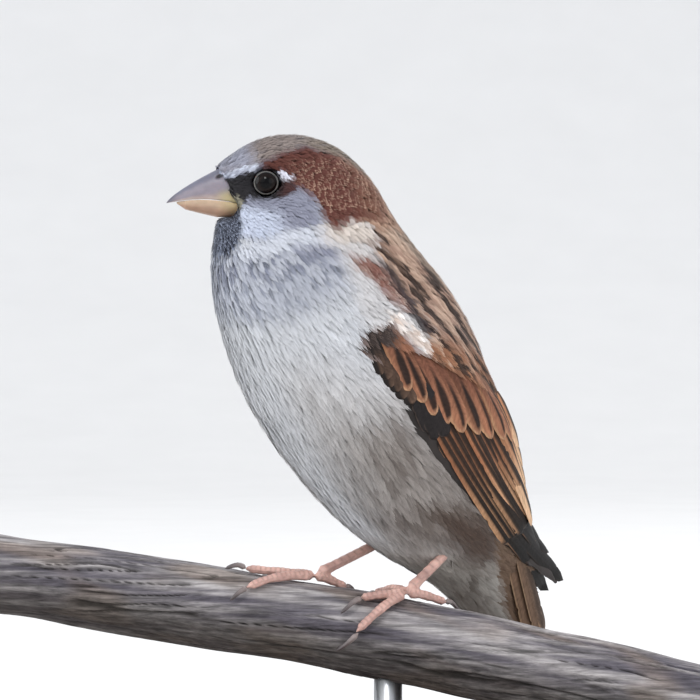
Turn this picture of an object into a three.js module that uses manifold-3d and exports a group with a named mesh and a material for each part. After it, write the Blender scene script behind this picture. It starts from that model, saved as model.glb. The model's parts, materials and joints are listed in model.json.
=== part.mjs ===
// A male house sparrow (Passer domesticus), life size, perched on a short cut length of weathered
// branch that a plain display stand holds.
//
// Frame: millimetres, +Z up, origin at the middle of the underside of the stand's base.
// The bird is modelled in its own frame, in which it faces -X, its left side is -Y and its plane of
// symmetry is Y = 0. Its trunk is then turned by TRUNK_YAW about Z, and its head is turned back on the
// neck, so that the bill points nearly along -X.

import * as THREE from 'three';
import { mergeVertices } from 'three/addons/utils/BufferGeometryUtils.js';
import Module from 'manifold-3d';

const wasm = await Module();
wasm.setup();

const { degToRad } = THREE.MathUtils;
const vec = (x, y, z) => new THREE.Vector3(x, y, z);

// ---- Driving dimensions ----------------------------------------------------------------------

const GAP = 0.3; // between neighbouring pieces
const ROOM = 0.42; // how much a piece is grown to cut its neighbour, its edges allowed for

const TRUNK_YAW = degToRad(35); // how far the breast is turned from -X towards -Y
const HEAD_YAW = degToRad(8); // the same for the bill
const BIRD_X = 6.3; // the vertical line that the trunk is turned about, in the stand's frame
const BIRD_Y = 0;
const NECK_PIVOT_X = -15.2; // the line that the head is turned about, in the bird's frame

const EYE_RADIUS = 2.75; // of the whole ball, of which about a third shows
const EYE_AT = { x: -27.6, z: 136.9, half: 7.35 }; // half: from the plane of symmetry to its centre

const BILL_HALF_WIDTH = 4.3; // at the feathers
const TAIL_LENGTH = 57;
const TARSUS_RADIUS = 1.05;

const BRANCH_LENGTH = 156;
const BRANCH_RADIUS = 8.8;
const ROD_RADIUS = 3;
const ROD_AT_X = 8;
const ROD_IN_BASE = 5; // the depths of its sockets
const ROD_IN_BRANCH = 4;
const BASE = { length: 112, width: 78, height: 8, corner: 14, bevel: 1 };

// ---- Solids ----------------------------------------------------------------------------------

// A manifold solid from a closed geometry, with its faces turned outwards.
function solidOf(geometry) {
  const bare = geometry.clone();
  bare.deleteAttribute('normal');
  bare.deleteAttribute('uv');
  const merged = mergeVertices(bare, 1e-4);
  const triVerts = new Uint32Array(merged.index.array);
  const vertProperties = merged.attributes.position.array;
  const corner = (i) => new THREE.Vector3().fromArray(vertProperties, 3 * triVerts[i]);
  let volume = 0;
  for (let i = 0; i < triVerts.length; i += 3) {
    volume += corner(i).dot(corner(i + 1).cross(corner(i + 2)));
  }
  if (volume < 0) {
    for (let i = 0; i < triVerts.length; i += 3) {
      [triVerts[i + 1], triVerts[i + 2]] = [triVerts[i + 2], triVerts[i + 1]];
    }
  }
  return new wasm.Manifold(new wasm.Mesh({ numProp: 3, vertProperties, triVerts }));
}

function geometryOf(solid) {
  const { numProp, numVert, vertProperties, triVerts } = solid.getMesh();
  const places = new Float32Array(numVert * 3);
  for (let i = 0; i < numVert; i++) {
    places.set(vertProperties.subarray(i * numProp, i * numProp + 3), i * 3);
  }
  const geometry = new THREE.BufferGeometry();
  geometry.setAttribute('position', new THREE.BufferAttribute(places, 3));
  geometry.setIndex(new THREE.BufferAttribute(triVerts, 1));
  geometry.computeVertexNormals();
  return geometry;
}

// A copy of a solid whose vertices stand further out by a distance, each along the mean of the faces
// round it, weighted by their angles there.
function grown(solid, distance) {
  const geometry = geometryOf(solid);
  const { position } = geometry.attributes;
  const corners = geometry.index.array;
  const at = (i) => new THREE.Vector3().fromBufferAttribute(position, i);
  const out = Array.from({ length: position.count }, () => vec(0, 0, 0));
  for (let i = 0; i < corners.length; i += 3) {
    const face = corners.slice(i, i + 3);
    const [a, b, c] = [...face].map(at);
    const normal = new THREE.Triangle(a, b, c).getNormal(vec(0, 0, 0));
    [[a, b, c], [b, c, a], [c, a, b]].forEach(([here, next, last], k) => {
      out[face[k]].addScaledVector(normal, next.clone().sub(here).angleTo(last.clone().sub(here)));
    });
  }
  out.forEach((direction, i) => {
    const p = at(i).addScaledVector(direction.normalize(), distance);
    position.setXYZ(i, p.x, p.y, p.z);
  });
  return solidOf(geometry);
}

// A ball's mesh with each vertex moved to place(along, around): along runs from 0 at one pole to 1 at
// the other, and around is an angle.
function shaped(sides, rows, place) {
  const geometry = new THREE.SphereGeometry(1, sides, rows);
  const { position, uv } = geometry.attributes;
  for (let i = 0; i < position.count; i++) {
    const around = (uv.getX(i) * sides) % sides;
    const row = Math.round((1 - uv.getY(i)) * rows);
    const atPole = row === 0 || row === rows;
    const angle = atPole ? 0 : (2 * Math.PI * Math.round(around)) / sides;
    const p = place(row / rows, angle);
    position.setXYZ(i, p.x, p.y, p.z);
  }
  return solidOf(geometry);
}

// A round limb along a curve. radiusAt(t) gives its radius, t from 0 to 1; the ends are rounded off.
function limb(points, radiusAt, { sides = 7, rows = 8 } = {}) {
  const curve = new THREE.CatmullRomCurve3(points, false, 'centripetal');
  const frames = curve.computeFrenetFrames(rows * 4, false);
  const length = curve.getLength();
  return shaped(sides, rows, (along, around) => {
    const k = Math.round(along * rows * 4);
    const end = Math.min(along, 1 - along) * length;
    const full = radiusAt(along);
    const r = end >= full ? full : Math.sqrt(Math.max(0, full ** 2 - (full - end) ** 2));
    return curve
      .getPointAt(along)
      .addScaledVector(frames.normals[k], r * Math.cos(around))
      .addScaledVector(frames.binormals[k], r * Math.sin(around));
  });
}

function ball(centre, radius) {
  const geometry = new THREE.SphereGeometry(radius, 12, 8);
  return solidOf(geometry.rotateX(Math.PI / 2).translate(centre.x, centre.y, centre.z));
}

const power = (value, exponent) => Math.sign(value) * Math.abs(value) ** exponent;
const smooth = (value) => THREE.MathUtils.smoothstep(value, 0, 1);

// ---- The bird's frame ------------------------------------------------------------------------

const birdToStand = new THREE.Matrix4()
  .makeTranslation(BIRD_X, BIRD_Y, 0)
  .multiply(new THREE.Matrix4().makeRotationZ(TRUNK_YAW));

// Turns a point of the straight bird about the neck: turned 0 is with the trunk, 1 with the head.
function turnOnNeck(point, turned) {
  const axis = vec(0, 0, 1);
  const pivot = vec(NECK_PIVOT_X, 0, 0);
  return point.sub(pivot).applyAxisAngle(axis, (HEAD_YAW - TRUNK_YAW) * turned).add(pivot);
}

// ---- Head, neck and trunk, one body ----------------------------------------------------------

// Each station is a slice across the body between a point on its throat, breast or belly and one on
// its crown, nape or back, both [x, z] in the plane of symmetry, with its half width and how far it
// turns with the head.
const STATIONS = [
  { belly: [-36.3, 134.0], back: [-36.3, 134.0], half: 0.0, turned: 1 }, // behind the bill
  { belly: [-36.9, 130.3], back: [-38.0, 139.3], half: 3.3, turned: 1 },
  { belly: [-37.3, 128.6], back: [-34.6, 142.4], half: 4.9, turned: 1 }, // lores
  { belly: [-37.5, 126.7], back: [-29.0, 145.9], half: 6.9, turned: 1 },
  { belly: [-37.8, 124.7], back: [-21.8, 147.2], half: 8.7, turned: 1 }, // eyes
  { belly: [-38.2, 122.6], back: [-14.4, 145.8], half: 10.6, turned: 0.97 }, // cheeks
  { belly: [-38.5, 120.2], back: [-8.0, 141.7], half: 12.0, turned: 0.88 },
  { belly: [-38.7, 117.2], back: [-3.3, 136.0], half: 13.6, turned: 0.7 }, // nape
  { belly: [-38.5, 112.8], back: [0.8, 128.8], half: 16.0, turned: 0.42 },
  { belly: [-37.2, 107.0], back: [7.2, 121.8], half: 18.6, turned: 0.18 }, // shoulders
  { belly: [-34.6, 100.0], back: [13.8, 114.8], half: 20.5, turned: 0.04 },
  { belly: [-30.9, 92.4], back: [19.4, 106.6], half: 21.5, turned: 0 }, // breast
  { belly: [-25.6, 84.6], back: [23.6, 97.2], half: 21.4, turned: 0 },
  { belly: [-19.2, 77.0], back: [27.0, 87.0], half: 20.2, turned: 0 }, // belly
  { belly: [-12.2, 69.6], back: [29.6, 77.4], half: 18.2, turned: 0 },
  { belly: [-4.4, 62.8], back: [31.6, 68.8], half: 15.4, turned: 0 }, // thighs
  { belly: [4.4, 57.2], back: [33.2, 61.2], half: 12.2, turned: 0 },
  { belly: [13.2, 52.6], back: [34.2, 54.4], half: 9.2, turned: 0 }, // vent
  { belly: [21.4, 46.2], back: [35.2, 47.6], half: 6.9, turned: 0 },
  { belly: [28.2, 38.0], back: [36.8, 40.0], half: 4.6, turned: 0 }, // under the tail
  { belly: [34.6, 31.0], back: [34.6, 31.0], half: 0.0, turned: 0 },
];
const bellyLine = new THREE.CatmullRomCurve3(
  STATIONS.map((s) => vec(s.belly[0], s.half, s.belly[1])),
);
const backLine = new THREE.CatmullRomCurve3(
  STATIONS.map((s) => vec(s.back[0], s.turned, s.back[1])),
);
const FULLNESS = 2 / 2.15; // of a slice: 1 is an ellipse, less is squarer
const CHIN_NARROWING = 0.5; // of the lowest part of a slice, beside the bill
const CHIN_ENDS = 0.38; // share of the way along the body where the narrowing has faded

function fleshPoint(along, around) {
  const belly = bellyLine.getPoint(along);
  const back = backLine.getPoint(along);
  const half = Math.max(0, belly.y);
  const up = 0.5 + 0.5 * power(Math.cos(around), FULLNESS);
  const x = THREE.MathUtils.lerp(belly.x, back.x, up);
  const z = THREE.MathUtils.lerp(belly.z, back.z, up);
  const turned = THREE.MathUtils.clamp(back.y, 0, 1);
  const chin = CHIN_NARROWING * (1 - smooth(along / CHIN_ENDS)) * (1 - up);
  return turnOnNeck(vec(x, half * (1 - chin) * power(Math.sin(around), FULLNESS), z), turned);
}

// ---- Bill ------------------------------------------------------------------------------------

const PLATE = 24; // wider than the head
const BILL_ROOT_X = -32.4; // inside the head
const BILL_TIP_X = -47.7;
const BILL_TIP_Z = 132.6;
const BILL_FULLNESS = 0.92; // of its cross-section: 1 is an ellipse, less is squarer

// The bill's culmen, its lower edge and the line between its halves, as heights over x.
const share = (x) => THREE.MathUtils.clamp((x - BILL_TIP_X) / (BILL_ROOT_X - BILL_TIP_X), 0, 1);
const culmenAt = (x) => BILL_TIP_Z + 9.3 * share(x) ** 0.8;
const underAt = (x) => BILL_TIP_Z - 3.2 * Math.min(1, share(x) * 1.45) ** 0.85;
const gapeAt = (x) => BILL_TIP_Z + 0.85 * Math.sin(Math.PI * Math.min(1, share(x) * 1.02));

function bill() {
  return shaped(14, 11, (along, around) => {
    const flatRoot = Math.max(0, (along - 0.1) / 0.9);
    const x = THREE.MathUtils.lerp(BILL_ROOT_X, BILL_TIP_X, 1 - (1 - flatRoot) ** 1.3);
    const top = culmenAt(x);
    const low = underAt(x);
    const size = along === 0 || along === 1 ? 0 : 1;
    const half = size * BILL_HALF_WIDTH * share(x) ** 0.72;
    const up = (size * power(Math.cos(around), BILL_FULLNESS)) / 2;
    const z = (top + low) / 2 + up * (top - low);
    return turnOnNeck(vec(x, half * power(Math.sin(around), BILL_FULLNESS), z), 1);
  });
}

// A solid from a geometry of the straight bird, turned with the head.
function turnedSolid(geometry) {
  const { position } = geometry.attributes;
  for (let i = 0; i < position.count; i++) {
    const p = turnOnNeck(new THREE.Vector3().fromBufferAttribute(position, i), 1);
    position.setXYZ(i, p.x, p.y, p.z);
  }
  return solidOf(geometry);
}

// A sheet of the gap's thickness along the line between the bill's halves.
function gapeCut() {
  const outline = new THREE.Shape();
  const length = BILL_ROOT_X - BILL_TIP_X + 2;
  const xs = Array.from({ length: 13 }, (_, i) => BILL_TIP_X - 1 + (length * i) / 12);
  outline.moveTo(xs[0], gapeAt(xs[0]) - GAP / 2);
  xs.slice(1).forEach((x) => outline.lineTo(x, gapeAt(x) - GAP / 2));
  xs.reverse().forEach((x) => outline.lineTo(x, gapeAt(x) + GAP / 2));
  return turnedSolid(extruded(outline));
}

// The wedge that the feathers leave free at each side of the bill: its point is at the gape.
function billNotch() {
  const gape = { x: -33.2, z: BILL_TIP_Z - 0.4 };
  const outline = new THREE.Shape()
    .moveTo(gape.x, gape.z)
    .lineTo(gape.x - 0.7, gape.z - 2.5) // down along the lower half's edge
    .lineTo(gape.x - 10.8, gape.z - 2.5)
    .lineTo(gape.x - 10.8, gape.z + 8.8)
    .lineTo(gape.x - 5, gape.z + 7) // beside the nostril
    .lineTo(gape.x - 3, gape.z + 4);
  return turnedSolid(extruded(outline));
}

// An outline in the plane of symmetry as a plate that is thicker than the head.
function extruded(outline) {
  const plate = new THREE.ExtrudeGeometry(outline, { depth: PLATE, bevelEnabled: false });
  return plate.rotateX(Math.PI / 2).translate(0, PLATE / 2, 0);
}

// ---- Wings -----------------------------------------------------------------------------------

// A folded wing from the wrist to the tips of the primaries. Each station has a point on its lower
// edge, one on its upper edge, and how far its outer face bulges past the line between them.
const WING = [
  { low: [-18.6, 18.0, 109.0], high: [-16.4, 18.0, 111.4], bulge: 0.4, thick: 0.6 },
  { low: [-18.8, 20.8, 102.4], high: [-3.4, 15.2, 117.6], bulge: 4.2, thick: 3.6 },
  { low: [-12.8, 22.4, 94.8], high: [9.4, 12.0, 112.6], bulge: 6.2, thick: 5.0 },
  { low: [-5.4, 22.6, 86.0], high: [20.2, 9.0, 102.0], bulge: 6.9, thick: 5.0 },
  { low: [3.2, 21.3, 76.4], high: [27.4, 6.6, 89.0], bulge: 6.6, thick: 4.6 },
  { low: [12.8, 17.8, 67.6], high: [31.6, 4.8, 77.2], bulge: 5.4, thick: 4.0 },
  { low: [23.4, 13.0, 60.8], high: [35.0, 3.6, 66.6], bulge: 3.6, thick: 3.2 },
  { low: [33.6, 8.8, 55.0], high: [39.8, 3.2, 58.8], bulge: 1.8, thick: 2.2 },
  { low: [43.8, 5.8, 49.8], high: [45.4, 4.2, 51.6], bulge: 0.3, thick: 1.0 },
];
const WING_TIP_SHIFT = { left: vec(0, 0, 0), right: vec(0.4, -3.0, -2.0) };

function wingCurve(key) {
  return new THREE.CatmullRomCurve3(WING.map((s) => vec(...s[key])));
}

function wing(side) {
  const sign = side === 'left' ? -1 : 1;
  const low = wingCurve('low');
  const high = wingCurve('high');
  const sizes = new THREE.CatmullRomCurve3(WING.map((s) => vec(s.bulge, s.thick, 0)));
  return shaped(12, 16, (along, around) => {
    const a = low.getPoint(along);
    const b = high.getPoint(along);
    const { x: bulge, y: thick } = sizes.getPoint(along);
    const across = b.clone().sub(a);
    const next = low.getPoint(Math.min(1, along + 0.02)).sub(low.getPoint(Math.max(0, along - 0.02)));
    const out = across.clone().cross(next).normalize();
    if (out.y < 0) out.negate();
    const t = 0.5 - 0.5 * Math.cos(around);
    const crown = 4 * t * (1 - t);
    const face = Math.sin(around) * (thick / 2) * (0.55 + 0.45 * crown);
    const p = a
      .addScaledVector(across, t)
      .addScaledVector(out, bulge * crown - thick / 2 + face)
      .addScaledVector(WING_TIP_SHIFT[side], smooth((along - 0.55) / 0.45));
    return vec(p.x, p.y * sign, p.z);
  });
}

// ---- Tail ------------------------------------------------------------------------------------

const TAIL_ROOT = vec(30.6, 0, 70.0);
const TAIL_SLOPE = degToRad(79); // below the horizon
const TAIL_DOWN = vec(Math.cos(TAIL_SLOPE), 0, -Math.sin(TAIL_SLOPE));
const TAIL_BACK = vec(Math.sin(TAIL_SLOPE), 0, Math.cos(TAIL_SLOPE));

function tail() {
  return shaped(12, 10, (along, around) => {
    const flat = THREE.MathUtils.clamp((along - 0.07) / 0.86, 0, 1);
    const size = along === 0 || along === 1 ? 0 : 1;
    const half = THREE.MathUtils.lerp(4.6, 7.4, smooth(flat * 1.2));
    const thick = THREE.MathUtils.lerp(2.0, 0.75, smooth(flat * 1.3));
    const across = size * Math.sin(around);
    const notch = flat === 1 ? 1.6 * (1 - Math.abs(across)) * size : 0;
    const length = flat * TAIL_LENGTH - notch;
    const camber = 0.9 * (1 - across * across);
    return TAIL_ROOT.clone()
      .addScaledVector(TAIL_DOWN, length)
      .addScaledVector(TAIL_BACK, camber + size * thick * Math.cos(around))
      .add(vec(0, half * across, 0));
  });
}

// ---- Branch ----------------------------------------------------------------------------------

const branchCentre = (x) => vec(x, -3.5 - 0.1 * x, 42.6 - 0.184 * x - 0.0004 * x * x);
const BRANCH_SWELL = 0.004; // growth in radius for each millimetre towards +X

// The branch's radius at an angle from its top, positive towards -Y.
function branchRadius(x, angle) {
  const ridges = 0.22 * Math.sin(5 * angle + 0.05 * x) + 0.12 * Math.sin(9 * angle - 0.09 * x + 1);
  const bends = 0.2 * Math.sin(0.11 * x + 2 * angle) + 0.15 * Math.sin(0.23 * x + 1.3);
  return BRANCH_RADIUS + BRANCH_SWELL * x + ridges + bends;
}

// A point that stands lift above the branch's surface.
function onBranch(x, angle, lift = 0) {
  const r = branchRadius(x, angle) + lift;
  return branchCentre(x).add(vec(0, -r * Math.sin(angle), r * Math.cos(angle)));
}

function branch() {
  const rows = 18;
  return shaped(18, rows, (along, around) => {
    const capped = THREE.MathUtils.clamp((along * rows - 1) / (rows - 2), 0, 1);
    const x = (capped - 0.5) * BRANCH_LENGTH;
    return along === 0 || along === 1 ? branchCentre(x) : onBranch(x, around);
  });
}

// ---- Legs and feet ---------------------------------------------------------------------------

// Each foot's sole, as a place along the branch and an angle from its top, its ankle in the bird's
// frame, and its toes by the place and angle of each tip. Toe 1 is the hind toe.
const FEET = {
  left: {
    sole: { x: 11.8, angle: 0.28 },
    ankle: vec(16.3, -9.2, 63.4),
    knee: vec(5.5, -11.6, 72.0),
    toes: [
      { name: 'toe_left_1', x: 20.4, angle: -0.2, claw: [3.6, -0.45] },
      { name: 'toe_left_2', x: 5.0, angle: -0.52, claw: [-2.8, -0.42] },
      { name: 'toe_left_3', x: 2.0, angle: 0.7, claw: [-4.6, 0.46] },
      { name: 'toe_left_4', x: 1.2, angle: 1.5, claw: [-4.6, 0.5] },
    ],
  },
  right: {
    sole: { x: -7.4, angle: 0.04 },
    ankle: vec(8.4, 7.2, 61.9),
    knee: vec(-1.5, 10.6, 70.5),
    toes: [
      { name: 'toe_right_1', x: -0.6, angle: -0.42, claw: [2.6, -0.4] },
      { name: 'toe_right_2', x: -22.0, angle: 0.95, claw: [-3.6, 0.36] },
      { name: 'toe_right_3', x: -22.4, angle: 0.26, claw: [-4.4, 0.24] },
      { name: 'toe_right_4', x: -17.0, angle: -0.56, claw: [-3.4, -0.42] },
    ],
  },
};
const TOE_RADIUS = 1.15;
const CLAW_RADIUS = 0.62;
const JOINTS = 3; // the pads along a toe, each a little fuller

const soleOf = (foot) => onBranch(foot.sole.x, foot.sole.angle, TOE_RADIUS + GAP + 0.35);

function tarsus(foot) {
  const sole = soleOf(foot);
  const ankle = foot.ankle.clone().applyMatrix4(birdToStand);
  const radiusAt = (t) => TARSUS_RADIUS + 0.5 * (1 - smooth(t / 0.2)) + 0.45 * smooth((t - 0.8) / 0.2);
  return limb([sole, sole.clone().lerp(ankle, 0.5), ankle], radiusAt, { rows: 9 });
}

function toe(foot, { x, angle }) {
  const { sole } = foot;
  const points = [0, 0.33, 0.66, 1].map((t) => {
    const lift = TOE_RADIUS * (1 - 0.25 * t) + GAP + 0.35 * (1 - t) ** 2;
    return onBranch(
      THREE.MathUtils.lerp(sole.x, x, t),
      THREE.MathUtils.lerp(sole.angle, angle, t),
      lift + 0.25 * Math.sin(Math.PI * t),
    );
  });
  const radiusAt = (t) =>
    TOE_RADIUS * (1 - 0.28 * t) - 0.08 * Math.cos(2 * Math.PI * JOINTS * t) - 0.05;
  return limb(points, radiusAt, { rows: 9 });
}

function claw({ x, angle, claw: [reach, turn] }) {
  const lifts = [0.95, 1.55, 1.25, 0.62];
  const points = lifts.map((lift, i) =>
    onBranch(x + (reach * i) / 3 - 0.12 * reach, angle + (turn * i) / 3, lift + GAP),
  );
  return limb(points, (t) => THREE.MathUtils.lerp(CLAW_RADIUS, 0.27, t), { sides: 6, rows: 7 });
}

function thigh(foot) {
  const knee = foot.knee.clone().applyMatrix4(birdToStand);
  const ankle = foot.ankle.clone().applyMatrix4(birdToStand);
  const middle = knee.clone().lerp(ankle, 0.55).add(vec(0, 0, -0.6));
  const radiusAt = (t) => THREE.MathUtils.lerp(6.0, 2.7, t);
  return limb([knee, middle, ankle], radiusAt, { sides: 12, rows: 8 });
}

// ---- Parting the flesh -----------------------------------------------------------------------

const inStand = (solid) => solid.transform(birdToStand.toArray());
const all = (solids) => solids.reduce((sum, solid) => sum.add(solid));

const flesh = inStand(shaped(26, 31, fleshPoint));

const REACH = 90; // longer than the half bird

// All that lies before a cut across the body, at a share of the way along it. A positive offset takes
// the cut forward.
function beforeCut(along, offset) {
  const low = fleshPoint(along, Math.PI);
  const high = fleshPoint(along, 0);
  const side = fleshPoint(along, Math.PI / 2).sub(fleshPoint(along, -Math.PI / 2)).normalize();
  const up = high.clone().sub(low).normalize();
  const across = side.clone().cross(up);
  const middle = low.lerp(high, 0.5);
  middle.addScaledVector(across, Math.sign(across.z) * (REACH / 2 + offset));
  const place = new THREE.Matrix4().makeBasis(side, up, across).setPosition(middle);
  return inStand(solidOf(new THREE.BoxGeometry(REACH, REACH, REACH).applyMatrix4(place)));
}

const HEAD_CUT = 0.32; // shares of the way along the body
const NECK_CUT = 0.46;

const sides = ['left', 'right'];
const eyes = sides.map((side) => {
  const place = vec(EYE_AT.x, side === 'left' ? -EYE_AT.half : EYE_AT.half, EYE_AT.z);
  return ball(turnOnNeck(place, 1).applyMatrix4(birdToStand), EYE_RADIUS);
});
const tarsi = sides.map((side) => tarsus(FEET[side]));
const thighs = sides.map((side) => thigh(FEET[side]));
const tailVanes = inStand(tail());
const wholeBill = inStand(bill());

const roomFor = (solids) => all(solids.map((solid) => grown(solid, ROOM)));
const legRoom = roomFor(tarsi);
const tailRoom = roomFor([tailVanes]);

// The wings lie on the tail, and the left wing's tip lies over the right one's.
const leftWing = inStand(wing('left')).subtract(tailRoom);
const rightWing = inStand(wing('right')).subtract(tailRoom).subtract(grown(leftWing, ROOM));
const wingRoom = roomFor([inStand(wing('left')), inStand(wing('right'))]);

const head = flesh
  .intersect(beforeCut(HEAD_CUT, GAP / 2))
  .subtract(grown(wholeBill, ROOM))
  .subtract(inStand(billNotch()))
  .subtract(roomFor(eyes));
const neck = flesh
  .subtract(beforeCut(HEAD_CUT, -GAP / 2))
  .intersect(beforeCut(NECK_CUT, GAP / 2))
  .subtract(wingRoom);
const trunk = flesh
  .subtract(beforeCut(NECK_CUT, -GAP / 2))
  .subtract(wingRoom)
  .subtract(roomFor(thighs))
  .subtract(legRoom)
  .subtract(tailRoom);
const billHalves = wholeBill
  .subtract(inStand(gapeCut()))
  .decompose()
  .sort((a, b) => b.boundingBox().max[2] - a.boundingBox().max[2]);

// ---- Stand -----------------------------------------------------------------------------------

function rod() {
  const { y, z } = branchCentre(ROD_AT_X);
  const low = BASE.height - ROD_IN_BASE;
  const high = z - BRANCH_RADIUS + ROD_IN_BRANCH;
  const geometry = new THREE.CylinderGeometry(ROD_RADIUS, ROD_RADIUS, high - low, 16);
  return solidOf(geometry.rotateX(Math.PI / 2).translate(ROD_AT_X, y, (low + high) / 2));
}

function base() {
  const { length, width, height, corner, bevel } = BASE;
  const x = length / 2 - bevel;
  const y = width / 2 - bevel;
  const outline = new THREE.Shape()
    .moveTo(-x + corner, -y)
    .lineTo(x - corner, -y)
    .absarc(x - corner, -y + corner, corner, -Math.PI / 2, 0)
    .lineTo(x, y - corner)
    .absarc(x - corner, y - corner, corner, 0, Math.PI / 2)
    .lineTo(-x + corner, y)
    .absarc(-x + corner, y - corner, corner, Math.PI / 2, Math.PI)
    .lineTo(-x, -y + corner)
    .absarc(-x + corner, -y + corner, corner, Math.PI, 1.5 * Math.PI);
  const plate = new THREE.ExtrudeGeometry(outline, {
    depth: height - 2 * bevel,
    bevelThickness: bevel,
    bevelSize: bevel,
    bevelSegments: 1,
    curveSegments: 5,
  });
  return solidOf(plate.translate(0, 0, bevel));
}

// ---- Nodes -----------------------------------------------------------------------------------

const material = (color, roughness, metalness = 0) =>
  new THREE.MeshStandardMaterial({ color, roughness, metalness });
const finishes = {
  pale: material(0xb9b4ae, 0.9),
  crown: material(0x7a6a60, 0.9),
  chestnut: material(0x7d5138, 0.85),
  dusk: material(0x5b4a3f, 0.85),
  horn: material(0xb5a0a0, 0.45),
  straw: material(0xd8ab80, 0.45),
  eye: material(0x15100d, 0.1),
  leg: material(0xb98577, 0.6),
  claw: material(0x6d5d57, 0.45),
  wood: material(0x8b827b, 0.9),
  plinth: material(0x3a332e, 0.5),
  steel: material(0xb8b8ba, 0.35, 1),
};

const sparrow = new THREE.Group();

function addNode(name, solid, finish) {
  const mesh = new THREE.Mesh(geometryOf(solid), finish);
  mesh.name = name;
  sparrow.add(mesh);
}

addNode('head', head, finishes.crown);
addNode('neck', neck, finishes.pale);
addNode('trunk', trunk, finishes.pale);
addNode('tail', tailVanes, finishes.dusk);
addNode('wing_left', leftWing, finishes.chestnut);
addNode('wing_right', rightWing, finishes.chestnut);
addNode('bill_upper', billHalves[0], finishes.horn);
addNode('bill_lower', billHalves[1], finishes.straw);

sides.forEach((side, i) => {
  addNode(`eye_${side}`, eyes[i], finishes.eye);
  addNode(`tarsus_${side}`, tarsi[i], finishes.leg);
  addNode(`thigh_${side}`, thighs[i].subtract(legRoom).subtract(wingRoom), finishes.pale);
  let taken = legRoom;
  for (const each of FEET[side].toes) {
    const phalanges = toe(FEET[side], each);
    const nail = claw(each);
    addNode(each.name, phalanges.subtract(taken).subtract(grown(nail, ROOM)), finishes.leg);
    addNode(each.name.replace('toe', 'claw'), nail, finishes.claw);
    taken = taken.add(grown(phalanges, ROOM));
  }
});

const post = rod();
const socket = grown(post, ROOM);
addNode('perch_branch', branch().subtract(socket), finishes.wood);
addNode('stand_rod', post, finishes.steel);
addNode('stand_base', base().subtract(socket), finishes.plinth);

export default sparrow;
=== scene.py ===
"""A male house sparrow on a cut length of weathered branch, a life-size natural-history model.

Lengths in the code are millimetres, and every mesh is made in metres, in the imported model's frame:
+Z up, origin under the stand's base. The bird faces -X with its breast turned towards -Y, and its
left side is the near one. Its markings are laid out on the straight bird, whose plane of symmetry is
Y = 0 and whose bill points along -X.
"""

import json
import math

import bmesh
import bpy
import numpy as np
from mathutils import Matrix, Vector
from mathutils.bvhtree import BVHTree

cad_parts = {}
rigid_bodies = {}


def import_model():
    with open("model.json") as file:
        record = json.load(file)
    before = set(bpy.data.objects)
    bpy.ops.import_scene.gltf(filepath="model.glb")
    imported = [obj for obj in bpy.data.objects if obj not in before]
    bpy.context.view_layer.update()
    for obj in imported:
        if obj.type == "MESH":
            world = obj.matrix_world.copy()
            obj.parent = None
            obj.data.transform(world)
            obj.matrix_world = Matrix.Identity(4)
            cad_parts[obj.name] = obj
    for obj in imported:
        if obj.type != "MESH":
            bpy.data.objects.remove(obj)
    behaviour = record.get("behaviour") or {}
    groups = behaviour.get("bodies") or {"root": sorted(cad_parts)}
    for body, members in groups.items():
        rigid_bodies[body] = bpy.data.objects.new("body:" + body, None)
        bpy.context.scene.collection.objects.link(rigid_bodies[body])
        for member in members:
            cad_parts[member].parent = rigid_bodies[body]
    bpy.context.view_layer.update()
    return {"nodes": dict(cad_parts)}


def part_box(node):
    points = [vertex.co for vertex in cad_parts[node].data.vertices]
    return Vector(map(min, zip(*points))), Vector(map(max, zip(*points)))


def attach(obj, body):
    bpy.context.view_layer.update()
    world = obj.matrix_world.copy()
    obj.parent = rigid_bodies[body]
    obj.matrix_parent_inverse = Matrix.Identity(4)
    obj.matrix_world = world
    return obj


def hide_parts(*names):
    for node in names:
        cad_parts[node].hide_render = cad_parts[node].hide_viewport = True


for thing in list(bpy.data.objects):
    bpy.data.objects.remove(thing)

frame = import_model()
nodes = frame["nodes"]

MM = 0.001
SIDES = ("left", "right")
TOES = [f"toe_{side}_{number}" for side in SIDES for number in (1, 2, 3, 4)]
TARSI = [f"tarsus_{side}" for side in SIDES]
FLESH = ["head", "neck", "trunk", "thigh_left", "thigh_right", "wing_left", "wing_right"]

# ---- The straight bird --------------------------------------------------------------------------

TRUNK_YAW = math.radians(35)
HEAD_YAW = math.radians(8)
TURN_LINE_X = 6.3  # of the trunk, in the stand's frame
NECK_LINE_X = -15.2  # of the head, in the bird's frame
NECK_SLOPE = (-0.4, 0.917)  # the direction in which the neck turns more and more, in x and z
NECK_FROM, NECK_TO = 103.0, 137.0  # where that turn starts and is complete


def smooth(value):
    t = np.clip(value, 0.0, 1.0)
    return t * t * (3 - 2 * t)


def mix(a, b, share):
    return a + (b - a) * share


def spin(x, y, angle):
    c, s = np.cos(angle), np.sin(angle)
    return c * x - s * y, s * x + c * y


def neck_turn(x, z):
    """How far a point of the straight bird turns with the head, as an angle."""
    along = NECK_SLOPE[0] * x + NECK_SLOPE[1] * z
    return (HEAD_YAW - TRUNK_YAW) * smooth((along - NECK_FROM) / (NECK_TO - NECK_FROM))


def straighten(places):
    """Points of the stand's frame, in mm, as points of the straight bird."""
    places = np.asarray(places, float)
    bird_x, bird_y = spin(places[..., 0] - TURN_LINE_X, places[..., 1], -TRUNK_YAW)
    z = places[..., 2]
    x, y = bird_x, bird_y
    for _ in range(5):
        x, y = spin(bird_x - NECK_LINE_X, bird_y, -neck_turn(x, z))
        x = x + NECK_LINE_X
    return np.stack([x, y, z], -1)


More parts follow.
